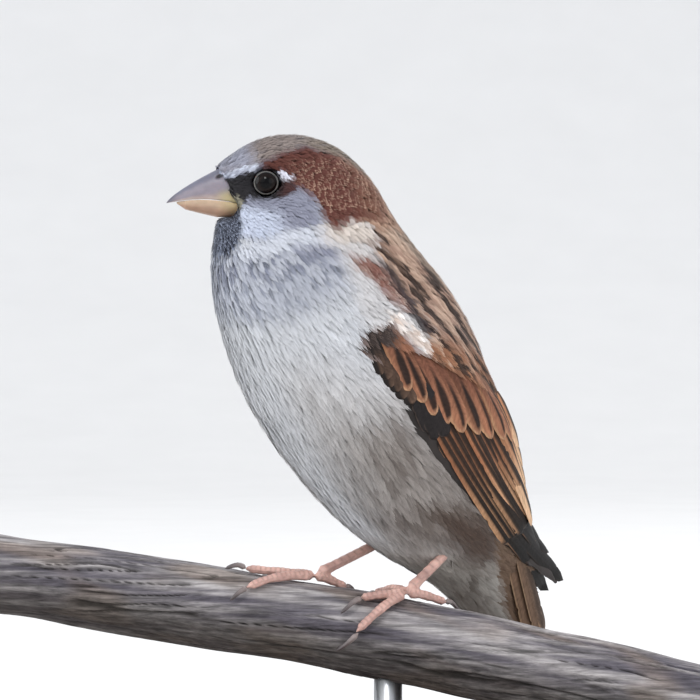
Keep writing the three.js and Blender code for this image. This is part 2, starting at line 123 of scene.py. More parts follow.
def pose(places):
    """Points of the straight bird as points of the stand's frame, in mm."""
    places = np.asarray(places, float)
    x, y, z = places[..., 0], places[..., 1], places[..., 2]
    bird_x, bird_y = spin(x - NECK_LINE_X, y, neck_turn(x, z))
    stand_x, stand_y = spin(bird_x + NECK_LINE_X, bird_y, TRUNK_YAW)
    return np.stack([stand_x + TURN_LINE_X, stand_y, z], -1)


# ---- Meshes -------------------------------------------------------------------------------------


def unit(vectors):
    length = np.linalg.norm(vectors, axis=-1, keepdims=True)
    return vectors / np.maximum(length, 1e-9)


def places_of(mesh):
    found = np.empty(len(mesh.vertices) * 3, np.float32)
    mesh.vertices.foreach_get("co", found)
    return found.reshape(-1, 3).astype(float) / MM


def normals_of(mesh):
    found = np.empty(len(mesh.vertices) * 3, np.float32)
    mesh.vertex_normals.foreach_get("vector", found)
    return found.reshape(-1, 3).astype(float)


def faces_of(mesh):
    """The mesh's triangles, as rows of three vertex numbers."""
    mesh.calc_loop_triangles()
    found = np.empty(len(mesh.loop_triangles) * 3, np.int32)
    mesh.loop_triangles.foreach_get("vertices", found)
    return found.reshape(-1, 3)


def edges_of(mesh):
    found = np.empty(len(mesh.edges) * 2, np.int32)
    mesh.edges.foreach_get("vertices", found)
    return found.reshape(-1, 2)


def new_mesh(name, places, faces, smooth_faces=True):
    """A mesh from places in mm and a list of arrays of faces, each array with one number of corners."""
    groups = [np.asarray(group, np.int32) for group in faces if len(group)]
    sizes = np.concatenate([np.full(len(group), group.shape[1]) for group in groups])
    corners = np.concatenate([group.ravel() for group in groups])
    mesh = bpy.data.meshes.new(name)
    mesh.vertices.add(len(places))
    mesh.vertices.foreach_set("co", (np.asarray(places, float) * MM).astype(np.float32).ravel())
    mesh.loops.add(len(corners))
    mesh.loops.foreach_set("vertex_index", corners)
    mesh.polygons.add(len(sizes))
    starts = np.concatenate([[0], np.cumsum(sizes)[:-1]])
    mesh.polygons.foreach_set("loop_start", starts.astype(np.int32))
    mesh.update(calc_edges=True)
    mesh.validate()
    mesh.polygons.foreach_set("use_smooth", np.full(len(mesh.polygons), smooth_faces))
    return mesh


def new_object(name, mesh, *materials):
    thing = bpy.data.objects.new(name, mesh)
    bpy.context.scene.collection.objects.link(thing)
    for material in materials:
        mesh.materials.append(material)
    return thing


def store(mesh, name, values, kind="FLOAT_COLOR", domain="POINT"):
    """Puts an array on the mesh as an attribute."""
    values = np.asarray(values, np.float32)
    if kind == "FLOAT_COLOR":
        values = np.concatenate([values[:, :3], np.ones((len(values), 1), np.float32)], 1)
    found = mesh.attributes.get(name) or mesh.attributes.new(name, kind, domain)
    key = {"FLOAT_COLOR": "color", "FLOAT": "value", "FLOAT_VECTOR": "vector", "FLOAT2": "vector"}
    found.data.foreach_set(key[kind], values.ravel())


def stored(mesh, name, width):
    attribute = mesh.attributes[name]
    found = np.empty(len(attribute.data) * width, np.float32)
    attribute.data.foreach_get("value" if width == 1 else "vector", found)
    return found if width == 1 else found.reshape(-1, width)


def finished(thing, slot, *replaced):
    """Puts a piece on the frame: what it rides on and the nodes that it stands for. Its finish, slot, is not used."""
    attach(thing, "root")
    if replaced:
        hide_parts(*replaced)
    return thing


def evaluated_mesh(thing):
    """The object's mesh with its modifiers applied. The object is then removed."""
    depsgraph = bpy.context.evaluated_depsgraph_get()
    mesh = bpy.data.meshes.new_from_object(thing.evaluated_get(depsgraph))
    bpy.data.objects.remove(thing)
    return mesh


def grown_union(names, swell, voxel):
    """One closed mesh round some CAD nodes, each grown by swell so that the gaps between them close."""
    together = bmesh.new()
    for name in names:
        piece = bmesh.new()
        piece.from_mesh(nodes[name].data)
        bmesh.ops.remove_doubles(piece, verts=piece.verts, dist=0.001 * MM)
        piece.normal_update()
        for vertex in piece.verts:
            vertex.co += vertex.normal * swell * MM
        grown = bpy.data.meshes.new(name)
        piece.to_mesh(grown)
        together.from_mesh(grown)
        piece.free()
        bpy.data.meshes.remove(grown)
    mesh = bpy.data.meshes.new("union")
    together.to_mesh(mesh)
    together.free()
    thing = new_object("union", mesh)
    remesh = thing.modifiers.new("voxels", "REMESH")
    remesh.mode = "VOXEL"
    remesh.voxel_size = voxel * MM
    return evaluated_mesh(thing)


def spread(values, edges, count):
    """Each vertex's mean over its neighbours."""
    a, b = edges.T
    total = np.zeros((count, values.shape[1]))
    for column in range(values.shape[1]):
        total[:, column] = np.bincount(a, values[b, column], count)
        total[:, column] += np.bincount(b, values[a, column], count)
    return total / np.maximum(np.bincount(edges.ravel(), minlength=count), 1)[:, None]


def relaxed(values, edges, times, keeps_size=True):
    """Values smoothed over the mesh. Places that keep their size are pushed back at each step."""
    values = np.array(values, float)
    for _ in range(times):
        for share in (0.5, -0.52) if keeps_size else (0.5,):
            values += share * (spread(values, edges, len(values)) - values)
    return values


def tree_of(places, faces):
    return BVHTree.FromPolygons([Vector(p) for p in places], faces.tolist())


# ---- The bird's outline, skin and lie of the coat ------------------------------------------------

SWELL = 0.3
EYES = {side: sum(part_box(f"eye_{side}"), Vector()) / 2 / MM for side in SIDES}
EYE_RADIUS = (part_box("eye_left")[1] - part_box("eye_left")[0]).x / 2 / MM
GAPE = {"x": -33.2, "z": 132.2}  # the corner of the bill, on the straight bird


def near(places, node):
    """How far places lie from a CAD node, in mm."""
    mesh = nodes[node].data
    tree = tree_of(places_of(mesh), faces_of(mesh))
    return np.array([tree.find_nearest(p)[3] for p in places.tolist()])


def coat_depth(straight):
    """How deep the skin lies under the tips of the feathers."""
    x, z = straight[:, 0], straight[:, 2]
    from_face = np.hypot(x + 34, 1.2 * (z - 134))
    head = mix(0.3, 0.7, smooth((from_face - 2) / 16))
    return mix(head, 0.95, smooth((126 - z) / 16))


def potential(edges, count, fixed, values):
    """The smooth field over the mesh with the given values at the fixed vertices."""
    a, b = edges.T
    degree = np.bincount(edges.ravel(), minlength=count).astype(float)
    free = ~fixed

    def laplacian(field):
        return degree * field - np.bincount(a, field[b], count) - np.bincount(b, field[a], count)

    field = np.where(fixed, values, 0.0)
    residual = np.where(free, -laplacian(field), 0.0)
    step = residual / np.maximum(degree, 1)
    energy = residual @ step
    for _ in range(1500):
        pushed = np.where(free, laplacian(step), 0.0)
        share = energy / max(step @ pushed, 1e-30)
        field += share * step
        residual -= share * pushed
        scaled = residual / np.maximum(degree, 1)
        last, energy = energy, residual @ scaled
        if energy < 1e-12:
            break
        step = scaled + (energy / last) * step
    return field


def slopes(places, normals, edges, field):
    """Unit vectors along the surface towards higher values of the field."""
    a, b = edges.T
    apart = places[b] - places[a]
    pull = (field[b] - field[a])[:, None] * apart / np.maximum((apart**2).sum(1), 1e-6)[:, None]
    total = np.zeros_like(places)
    for column in range(3):
        total[:, column] = np.bincount(a, pull[:, column], len(places))
        total[:, column] += np.bincount(b, pull[:, column], len(places))
    total = relaxed(unit(total), edges, 8, keeps_size=False)
    total -= (total * normals).sum(1)[:, None] * normals
    return unit(total)


def largest_piece(edges, count):
    """Which vertices belong to the biggest connected part."""
    label = np.arange(count)
    while True:
        low = np.minimum(label[edges[:, 0]], label[edges[:, 1]])
        found = label.copy()
        np.minimum.at(found, edges[:, 0], low)
        np.minimum.at(found, edges[:, 1], low)
        found = found[found]
        if (found == label).all():
            break
        label = found
    return label == np.bincount(label).argmax()


class Body:
    """The outline of the feathers, the skin under it and the way that the coat lies."""

    def __init__(self):
        mesh = grown_union(FLESH, SWELL, 0.66)
        places, edges = places_of(mesh), edges_of(mesh)
        kept = largest_piece(edges, len(places))
        number = np.cumsum(kept) - 1
        quads = np.array([p.vertices[:] for p in mesh.polygons])
        self.quads = number[quads[kept[quads[:, 0]]]]
        self.edges = edges = number[edges[kept[edges[:, 0]]]]
        bpy.data.meshes.remove(mesh)
        outline = relaxed(places[kept], edges, 14)
        shell = new_mesh("outline", outline, [self.quads])
        normals = normals_of(shell)
        bpy.data.meshes.remove(shell)
        self.outline = outline - SWELL * normals
        self.normals = unit(relaxed(normals, edges, 6, keeps_size=False))
        self.triangles = np.concatenate([self.quads[:, :3], self.quads[:, [0, 2, 3]]])
        self.tree = tree_of(self.outline, self.triangles)
        self.straight = straighten(self.outline)
        self.lie_of_the_coat()
        self.make_skin()

    def lie_of_the_coat(self):
        count = len(self.outline)
        at_bill = near(self.outline, "bill_upper") < 1.1
        at_bill |= near(self.outline, "bill_lower") < 1.1
        at_tail = self.outline[:, 2] < self.outline[:, 2].min() + 3
        x, z = self.straight[:, 0], self.straight[:, 2]
        at_tail |= (x > 36) & (z < 62)
        open_eye = np.zeros(count, bool)
        for centre in EYES.values():
            open_eye |= np.linalg.norm(self.outline - centre, axis=1) < EYE_RADIUS + 0.5
        joined = self.edges[~open_eye[self.edges].any(1)]
        fixed = at_bill | at_tail
        self.along = potential(joined, count, fixed, np.where(at_tail, 1.0, 0.0))
        self.lie = slopes(self.outline, self.normals, joined, self.along)
        self.round_eye = open_eye

    def make_skin(self):
        depth = coat_depth(self.straight)
        thick = np.full(len(depth), 40.0)
        starts = (self.outline - 0.05 * self.normals).tolist()
        for i, (start, normal) in enumerate(zip(starts, self.normals.tolist())):
            hit = self.tree.ray_cast(start, [-n for n in normal], 12.0)
            if hit[3] is not None:
                thick[i] = hit[3]
        depth = np.minimum(depth, 0.36 * thick)
        depth = relaxed(depth[:, None], self.edges, 6, keeps_size=False)
        self.skin = self.outline - depth * self.normals

    def at(self, places):
        """For each place: its triangle on the outline and its weights there."""
        found, weights = [], []
        for place in np.asarray(places).tolist():
            hit, _, index, _ = self.tree.find_nearest(place)
            found.append(index)
            a, b, c = (self.outline[k] for k in self.triangles[index])
            weights.append(corner_weights(np.array(hit), a, b, c))
        return np.array(found), np.array(weights)

    def value(self, field, found, weights):
        return (field[self.triangles[found]] * weights[..., None]).sum(1)


def corner_weights(place, a, b, c):
    ab, ac, ap = b - a, c - a, place - a
    d00, d01, d11, d20, d21 = ab @ ab, ab @ ac, ac @ ac, ap @ ab, ap @ ac
    under = max(d00 * d11 - d01 * d01, 1e-12)
    v = (d11 * d20 - d01 * d21) / under
    w = (d00 * d21 - d01 * d20) / under
    return (1 - v - w, v, w)


# ---- Colours and materials ----------------------------------------------------------------------


def tone(code):
    """A linear colour from six hex digits."""
    parts = np.array([int(code[i : i + 2], 16) for i in (0, 2, 4)]) / 255
    return np.where(parts <= 0.04045, parts / 12.92, ((parts + 0.055) / 1.055) ** 2.4)


class Surface:
    """A node material: a principled shader that gets its colour and relief from what is added."""

    def __init__(self, name, **settings):
        self.material = bpy.data.materials.new(name)
        self.material.use_nodes = True
        self.nodes = self.material.node_tree.nodes
        self.links = self.material.node_tree.links
        self.shader = self.nodes["Principled BSDF"]
        for socket, value in settings.items():
            self.shader.inputs[socket.replace("_", " ").title().replace("Ior", "IOR")].default_value = value

    def add(self, kind, settings=None, **inputs):
        node = self.nodes.new(kind)
        for key, value in (settings or {}).items():
            setattr(node, key, value)
        for key, value in inputs.items():
            self.feed(node.inputs[key.replace("_", " ")], value)
        return node

    def feed(self, socket, value):
        if isinstance(value, bpy.types.NodeSocket):
            self.links.new(value, socket)
        elif isinstance(value, np.ndarray):
            socket.default_value = (*value, 1.0)
        else:
            socket.default_value = value

    def places(self, stretch=(1, 1, 1), source="Object"):
        """Coordinates in the object's space, stretched."""
        found = self.add("ShaderNodeTexCoord").outputs[source]
        mapping = self.add("ShaderNodeMapping", Vector=found)
        mapping.inputs["Scale"].default_value = stretch
        return mapping.outputs["Vector"]

    def attribute(self, name):
        return self.add("ShaderNodeAttribute", {"attribute_name": name})

    def noise(self, at, scale, detail=4.0, roughness=0.55):
        node = self.add("ShaderNodeTexNoise", Vector=at, Scale=scale, Detail=detail)
        node.inputs["Roughness"].default_value = roughness
        return node.outputs["Fac"]

    def spans(self, value, low, high, to_low=0.0, to_high=1.0):
        """The value from low to high as a value from to_low to to_high."""
        node = self.add("ShaderNodeMapRange", Value=value)
        for key, number in zip(("From Min", "From Max", "To Min", "To Max"), (low, high, to_low, to_high)):
            node.inputs[key].default_value = number
        return node.outputs["Result"]

    def mixed(self, a, b, share, blend="MIX"):
        node = self.add("ShaderNodeMix", {"data_type": "RGBA", "blend_type": blend})
        self.feed(node.inputs[0], share)
        self.feed(node.inputs[6], a)
        self.feed(node.inputs[7], b)
        return node.outputs[2]

    def times(self, colour, value):
        """A colour made lighter or darker by a value."""
        joined = self.add("ShaderNodeCombineColor")
        for channel in joined.inputs:
            self.feed(channel, value)
        return self.mixed(colour, joined.outputs[0], 1.0, "MULTIPLY")

    def coloured(self, colour):
        self.feed(self.shader.inputs["Base Color"], colour)
        return self

    def relief(self, height, strength, distance):
        bump = self.add("ShaderNodeBump", Strength=strength, Distance=distance * MM, Height=height)
        last = self.shader.inputs["Normal"].links
        if last:
            self.feed(bump.inputs["Normal"], last[0].from_socket)
        self.feed(self.shader.inputs["Normal"], bump.outputs["Normal"])
        return self


def plumage_surface():
    """Soft feathers: the painted tint, with barbs a little lighter and darker."""
    surface = Surface("Plumage", roughness=0.78, specular_ior_level=0.25)
    surface.shader.inputs["Sheen Weight"].default_value = 0.08
    tint = surface.attribute("tint").outputs["Color"]
    fine = surface.noise(surface.places(), 1900.0, 3.0)
    broad = surface.noise(surface.places(), 260.0, 3.0)
    tint = surface.times(tint, surface.spans(fine, 0.25, 0.75, 0.95, 1.05))
    tint = surface.times(tint, surface.spans(broad, 0.3, 0.7, 0.96, 1.04))
    return surface.coloured(tint).material


# ---- Markings -----------------------------------------------------------------------------------

# Outlines on the side of the straight bird, as x and z in mm. They are the same on both sides.
CHESTNUT = [(-28.0, 139.7), (-27.4, 141.4), (-23.6, 143.2), (-18.6, 144.0), (-12.4, 142.6),
            (-7.0, 139.0), (-3.6, 133.4), (-3.2, 128.6), (-8.0, 128.6), (-12.4, 128.6),
            (-15.6, 126.4), (-16.8, 128.2), (-17.4, 131.6), (-19.4, 134.8), (-23.6, 136.8),
            (-25.4, 138.4)]
BROW = [(-37.6, 138.4), (-33.4, 140.1), (-30.8, 141.0), (-29.0, 141.2), (-28.8, 140.3),
        (-31.6, 139.3), (-34.4, 138.3), (-37.4, 137.5)]
EYE_SPOT = [(-26.6, 138.9), (-23.4, 138.7), (-21.6, 137.9), (-23.2, 136.9), (-25.2, 137.5)]
EYE_PATCH = [(-39.8, 139.6), (-37.9, 139.4), (-36.6, 137.6), (-34.0, 138.0), (-31.2, 139.1), (-28.4, 140.2),
             (-25.8, 138.6), (-22.4, 136.8), (-21.4, 135.4), (-24.6, 133.8), (-28.6, 133.2),
             (-31.2, 133.6), (-31.9, 132.2), (-33.0, 130.0), (-36.0, 130.0), (-39.6, 133.0)]
BIB = [(-42.0, 132.6), (-33.2, 131.6), (-32.6, 128.0), (-33.0, 125.0), (-36.4, 120.0), (-42.0, 119.0)]
COLLAR = [(-42.0, 122.4), (-37.2, 122.4), (-34.4, 123.0), (-29.4, 124.4), (-24.5, 126.8),
          (-19.0, 127.4), (-14.6, 128.6), (-10.0, 128.0), (-6.6, 125.4), (-9.8, 121.8),
          (-16.6, 123.0), (-23.6, 123.0), (-30.4, 121.0), (-37.0, 119.6), (-42.0, 118.9)]
FLECKED_BREAST = [(-44.0, 120.6), (-34.0, 121.6), (-22.0, 123.2), (-14.0, 122.0), (-17.0, 115.0),
                  (-26.0, 110.0), (-34.0, 107.0), (-44.0, 108.0)]
CROWN = [(-40.0, 139.2), (-27.6, 141.4), (-18.6, 144.0), (-11.6, 142.4), (-5.4, 138.4),
         (-8.0, 152.0), (-40.0, 152.0)]
SHOULDER_GREY = [(-12.6, 124.0), (-6.6, 123.4), (-5.6, 119.0), (-10.6, 120.2)]
# On the wing, small feathers run over from the breast and the mantle.
SHOULDER = [(-23.0, 125.0), (-7.6, 123.0), (-4.6, 118.0), (-3.6, 110.6), (-0.6, 105.6),
            (-3.2, 102.0), (-8.6, 103.6), (-14.4, 105.4), (-18.3, 106.8), (-21.0, 106.0)]
SCAPULARS = [(-7.6, 126.0), (26.0, 126.0), (26.0, 92.0), (20.0, 90.4), (14.9, 93.6), (10.7, 96.8),
             (5.6, 98.8), (1.1, 100.0), (-3.4, 101.8), (-1.0, 105.6), (-3.6, 110.6), (-4.6, 118.0)]
SHOULDER_CHESTNUT = [(-15.0, 121.2), (-11.4, 120.4), (-8.0, 118.0), (-6.2, 113.0), (-4.6, 109.0),
                     (-7.6, 109.4), (-11.4, 113.0), (-12.6, 116.0), (-14.4, 118.6)]
SHOULDER_BLACK = [(-9.4, 120.2), (-7.0, 119.0), (-5.2, 113.4), (-4.4, 109.6), (-0.6, 105.2),
                  (-3.2, 104.6), (-6.8, 108.4), (-7.8, 113.2), (-8.8, 117.4)]
WHITE_BAR = [(-12.6, 107.4), (-11.4, 109.6), (-8.2, 108.6), (-5.2, 106.0), (-2.8, 103.4),
             (-2.2, 101.0), (-4.6, 101.5), (-7.2, 103.5), (-9.8, 105.2)]
UNDER_BAR = [(-17.0, 105.0), (-12.6, 107.0), (-9.6, 104.6), (-7.0, 103.0), (-4.3, 100.4),
             (-1.8, 99.4), (-1.0, 95.0), (-12.0, 97.0), (-17.6, 101.0)]
# The feathers of the flank lie over the lower edge of the wing as far as this.
OVER_WING_EDGE = [(-17.4, 103.4), (-14.6, 98.5), (-12.1, 94.3), (-9.2, 90.1), (-5.8, 84.8), (-2.8, 82.0),
                  (1.5, 77.6), (9.4, 70.4), (16.1, 66.0), (24.0, 60.0), (10.0, 50.0), (-30.0, 60.0), (-30.0, 100.0)]
# The side of the belly under the wing is dusky, its own grey-brown with painted shade from the wing; its front stays
# white.
DUSKY_SHADED_FLANK = [(-18.0, 83.0), (-14.0, 74.6), (-9.0, 68.0), (-2.6, 62.4), (4.0, 58.0), (12.0, 60.0),
               (24.0, 61.0), (16.0, 74.0), (1.0, 83.0), (-8.0, 88.0)]
GAPE_SKIN = [(-35.0, 132.6), (-33.6, 134.2), (-32.5, 133.6), (-32.2, 132.2), (-33.0, 131.0), (-34.6, 131.2)]
SCAPULAR_TIPS = [(-7.6, 126.0), (26.0, 126.0), (32.0, 88.0), (24.0, 84.0), (8.0, 91.0), (-1.0, 95.0),
                 (-3.4, 101.8), (-1.0, 105.6), (-3.6, 110.6), (-4.6, 118.0)]
UNDER_TAIL_SPOT = [(18.6, 53.6), (21.0, 52.8), (23.0, 48.4), (21.4, 47.6)]
# Round the thighs: their brown, with painted shade under the belly.
THIGH_BROWN_AND_SHADE = [(4.0, 67.6), (9.0, 66.6), (17.0, 65.6), (24.0, 62.6), (24.6, 56.6), (21.0, 54.0), (15.4, 55.6), (9.6, 60.4)]
TAIL_BROWN = [(22.4, 60.0), (26.0, 62.6), (33.0, 68.0), (60.0, 68.0), (60.0, 25.0), (40.6, 25.0), (31.0, 43.2), (26.6, 51.2)]


def within(outline, places, softness):
    """How far each place is inside an outline of the side view: 1 in it, 0 outside."""
    x, z = places[:, 0], places[:, 2]
    apart = np.full(len(x), 1e9)
    inside = np.zeros(len(x), bool)
    for (ax, az), (bx, bz) in zip(outline, outline[1:] + outline[:1]):
        ex, ez = bx - ax, bz - az
        share = np.clip(((x - ax) * ex + (z - az) * ez) / (ex * ex + ez * ez), 0, 1)
        apart = np.minimum(apart, np.hypot(x - ax - share * ex, z - az - share * ez))
        crosses = (az > z) != (bz > z)
        inside ^= crosses & (x < ax + (z - az) * ex / (ez if ez else 1e-9))
    return smooth(0.5 + np.where(inside, apart, -apart) / (2 * softness))


# The line along the middle of the trunk, in the side view, and the direction from it to the back.
SPINE_FROM, SPINE_TO = np.array([-14.0, 120.0]), np.array([30.0, 66.0])
TO_BACK = np.array([0.775, 0.632])


def backness(places):
    """From -1 at the middle of the breast and belly to 1 at the middle of the back."""
    side = (places[:, [0, 2]] - SPINE_FROM) @ TO_BACK
    return np.sin(np.arctan2(side, np.abs(places[:, 1]) + 1e-6))


def grain(places, size, seed):
    """Smooth noise from -1 to 1 through the places, with spots of about that size in mm."""
    dice = np.random.default_rng(seed)
    total = np.zeros(len(places))
    for octave in (1.0, 1.7, 2.9):
        for _ in range(5):
            way = unit(dice.normal(size=3)) * (2 * np.pi * octave / (2.2 * size))
            total += np.sin(places @ way + dice.uniform(0, 7)) / octave
    return total / 4.2


class Markings:
    """The colours of feathers that root at places of the straight bird."""

    def __init__(self, places, seed=3):
        dice = np.random.default_rng(seed)
        self.places = places = np.array(places, float)
        count = len(places)
        wander = np.stack([grain(places, 3.0, seed + k) for k in (11, 12)], 1)
        self.moved = places.copy()
        self.moved[:, [0, 2]] += 0.35 * wander + dice.normal(0, 0.16, (count, 2))
        self.main = np.tile(tone("c3c5c9"), (count, 1))
        self.base = np.tile(tone("8d8f95"), (count, 1))  # of the half under other feathers
        self.fringe = np.tile(tone("d2d3d5"), (count, 1))
        self.streak = np.zeros(count)  # how dark the middle of the feather is
        self.dark = np.tile(tone("33261f"), (count, 1))
        self.paint(seed)

    def colour(self, share, main, base=None, fringe=None, streak=None):
        share = np.asarray(share)[:, None]
        self.main = mix(self.main, tone(main), share)
        self.base = mix(self.base, tone(base or main) * (1.0 if base else 0.6), share)
        self.fringe = mix(self.fringe, tone(fringe or main) * (1.0 if fringe else 1.1), share)
        self.streak = mix(self.streak, streak or 0.0, share[:, 0])

    def paint(self, seed):
        dice = np.random.default_rng(seed + 40)
        at = self.moved
        x, across, z = at[:, 0], np.abs(at[:, 1]), at[:, 2]
        back = backness(at)
        chance = dice.random(len(at))
        length_wise = (at[:, [0, 2]] - SPINE_FROM) @ np.array([0.632, -0.775])
        side_wise = (at[:, [0, 2]] - SPINE_FROM) @ TO_BACK
        streaks = grain(np.column_stack([length_wise / 7, side_wise, at[:, 1]]), 1.3, seed + 7)
        # the under side, from the breast to the vent
        self.colour(smooth((112 - z) / 24), "c9cacd", "b1b2b6", "d2d3d5")
        warm = smooth((across - 4) / 10) * smooth((104 - z) / 16)
        self.colour(0.5 * warm, "bdb8b4", "9d9894", "c6c1bd")
        # The flank's grey-brown with painted shade under the wing, and more painted shade towards its bottom and under
        # the wing's edge towards the tail.
        dusky = within(DUSKY_SHADED_FLANK, at, 7.0) * smooth((across - 3) / 4)
        self.colour(0.95 * dusky, "857d77", "68615c", "8f8781")
        self.colour(0.65 * dusky * smooth((71 - z) / 7), "665b53", "50463f", "72665e")
        shade_near_wing = dusky * smooth((length_wise - 22) / 20) * smooth((side_wise + 11) / 9)
        self.colour(0.95 * shade_near_wing, "50453e", "3c332c", "5c5049")
        shade = np.maximum(dusky, 0.5 * warm)
        self.colour(shade * smooth(streaks * 2.2 - 0.2) * 0.5, "594f49", "4a423d", "675c55")
        self.colour(shade * smooth(-streaks * 2.2 - 0.3) * 0.4, "aca5a0", "8c8580", "b6afaa")
        self.colour(smooth((64 - z) / 8) * 0.8 * (1 - dusky), "b3aca4", "918a83", "bdb6ae")
        under_tail = smooth((58 - z) / 3)
        self.colour(under_tail, "a6a19a", "88837c", "b2ada5")
        # The thighs' brown, darkened further as painted shade under the belly.
        self.colour(within(THIGH_BROWN_AND_SHADE, at, 3.6) * 0.92, "46352b", "35281f", "544033")
        dark_tip = under_tail * np.maximum(within(UNDER_TAIL_SPOT, at, 0.8), 0.5 * smooth(grain(at, 2.6, 4) * 2 - 0.6))
        self.colour(0.8 * dark_tip, "6b635c", "57504a", "827a72")
        self.colour(within(TAIL_BROWN, at, 0.8) * smooth((68 - z) / 3), "6a5545", "4c3d32", "7c6552")
        # the back between the wings
        upper = smooth((back + 0.02) / 0.22) * smooth((129 - z) / 4)
        self.colour(upper, "96796a", "5a473d", "b29883")
        striped = upper * smooth((121 - z) / 5)
        stripe = (np.sin(across * 1.35 + 0.7) > 0.1) & (chance < 0.85)
        self.streak = np.where(stripe, np.maximum(self.streak, striped), self.streak)
        self.colour(striped * (chance > 0.86) * 0.8, "a2663f", "5b3a26", "c39063")
        self.colour(upper * smooth((84 - z) / 8), "8b7f74", "5f554d", "9c9187")
        # the breast and neck
        flecked = within(FLECKED_BREAST, at, 3.0)
        self.colour(flecked * 0.85, "a9acb6", "888b96", "b5b8c0")
        upright = grain(np.column_stack([x, at[:, 1], z / 6]), 0.75, 5)
        self.colour(flecked * smooth(upright * 2.4 - 0.2) * 0.65, "6b6f7d", "5b5f6c", "838896")
        high = flecked * smooth((z - 114 - 0.2 * (x + 36)) / 3)
        self.colour(high * smooth(upright * 2.0 + 0.5) * 0.55, "6d7183", "5a5e6e", "868a9b")
        blotch = within(FLECKED_BREAST, at, 7.0) * smooth(grain(at, 4.5, 5) * 1.4 - 0.15)
        self.colour(0.36 * blotch, "90949f", "777b86", "a5a9b3")
        fleck = within(FLECKED_BREAST, at, 1.5) * (chance < 0.05) * smooth((z - 106) / 8)
        self.colour(0.7 * fleck, "555963", "4c4f58", "8f939d")
        head = smooth((z - 123 + 0.35 * (x + 30)) / 3)
        nape = head * smooth((x + 17) / 6)
        self.colour(nape, "a3836f", "7f6454", "b0907b")
        cheek = head * (1 - smooth((x + 19) / 4))
        self.colour(cheek, "898b9a", "6f7183", "9698a7")
        front = cheek * smooth((-23.0 - x) / 5) * smooth((133.4 - z - 0.2 * (x + 33)) / 2.5)
        self.colour(0.95 * front, "c3cada", "a5abbc", "ccd2df")
        fine_flecks = smooth(grain(np.column_stack([x / 2, at[:, 1], z]), 0.8, 15) * 1.6 - 0.3)
        self.colour(cheek * fine_flecks * 0.4 * (1 - 0.6 * front), "6a6b7b", "5c5d6b", "8a8b9a")
        collar = within(COLLAR, at, 1.0)
        self.colour(collar, "c6c9d1", "afb2bb", "ced1d8")
        self.colour(collar * smooth((x + 21) / 6), "cfc4ba", "b5a99d", "d6ccc3")
        # the wing's shoulder and the scapulars
        self.colour(within(SHOULDER_GREY, at, 0.8), "8a7d78", "645a57", "9a8d88")
        behind = smooth((0.936 * x + 0.351 * z - 33.4) / 1.2)
        mantle = np.maximum(within(SCAPULAR_TIPS, at, 0.8), within(SHOULDER, at, 0.8) * behind)
        self.colour(mantle, "a58674", "6e5a4f", "b59786")
        low = mantle * smooth((106 - z - 0.25 * x) / 5)
        self.colour(low, "97694f", "5a3c2d", "ab8063")
        lines = grain(np.column_stack([length_wise / 12, side_wise, 0.4 * at[:, 1]]), 1.35, 21)
        mantle = np.maximum(mantle, striped)
        self.colour(mantle * smooth(lines * 3.0 - 0.1), "3a2b24", "261c18", "4d3b32")
        self.colour(mantle * smooth(-lines * 3.0 - 0.5) * 0.75, "c2a590", "8a6f5f", "ccb09b")
        self.colour(mantle * smooth((at[:, 0] * 0.62 + z * 0.78 - 93.6) / 1.5) * 0.55, "c0a894", "7d6a5c", "cab3a0")
        shoulder = within(SHOULDER, at, 0.6) * smooth((x + 19) / 4) * (1 - behind)
        self.colour(shoulder * 0.8, "cbc8c7", "a5a1a0", "d3d0ce")
        rust = within(SHOULDER_CHESTNUT, at, 1.2)
        self.colour(rust, "7f564c", "553730", "977064")
        self.colour(rust * smooth(grain(at, 1.5, 22) * 2) * 0.5, "a58a7e", "7d6158", "b89e92")
        low_edge = rust * smooth((118.4 - z - 0.9 * (x + 11)) / 2.4) * (0.3 + 0.7 * (chance < 0.6))
        self.fringe = mix(self.fringe, tone("bfaca0"), 0.8 * low_edge[:, None])
        below_bar = within(UNDER_BAR, at, 0.8)
        self.colour(below_bar, "8b5e48", "54382c", "9c705a")
        self.colour(below_bar * smooth((-9.5 - x) / 2.5), "3a302d", "26201e", "5d504a")
        self.colour(within(SHOULDER_BLACK, at, 0.8) * 0.92, "33292a", "221b1b", "45383a")
        bar = within(WHITE_BAR, at, 0.6)
        self.colour(bar * (1 - 0.6 * np.exp(-(((x + 7.6) / 0.9) ** 2))), "f4ece6", "c6b9ad", "f8f2ed")
        self.colour(bar * smooth(grain(at, 1.6, 23) * 1.8) * 0.6, "b99d89", "8a7263", "cbb3a2")
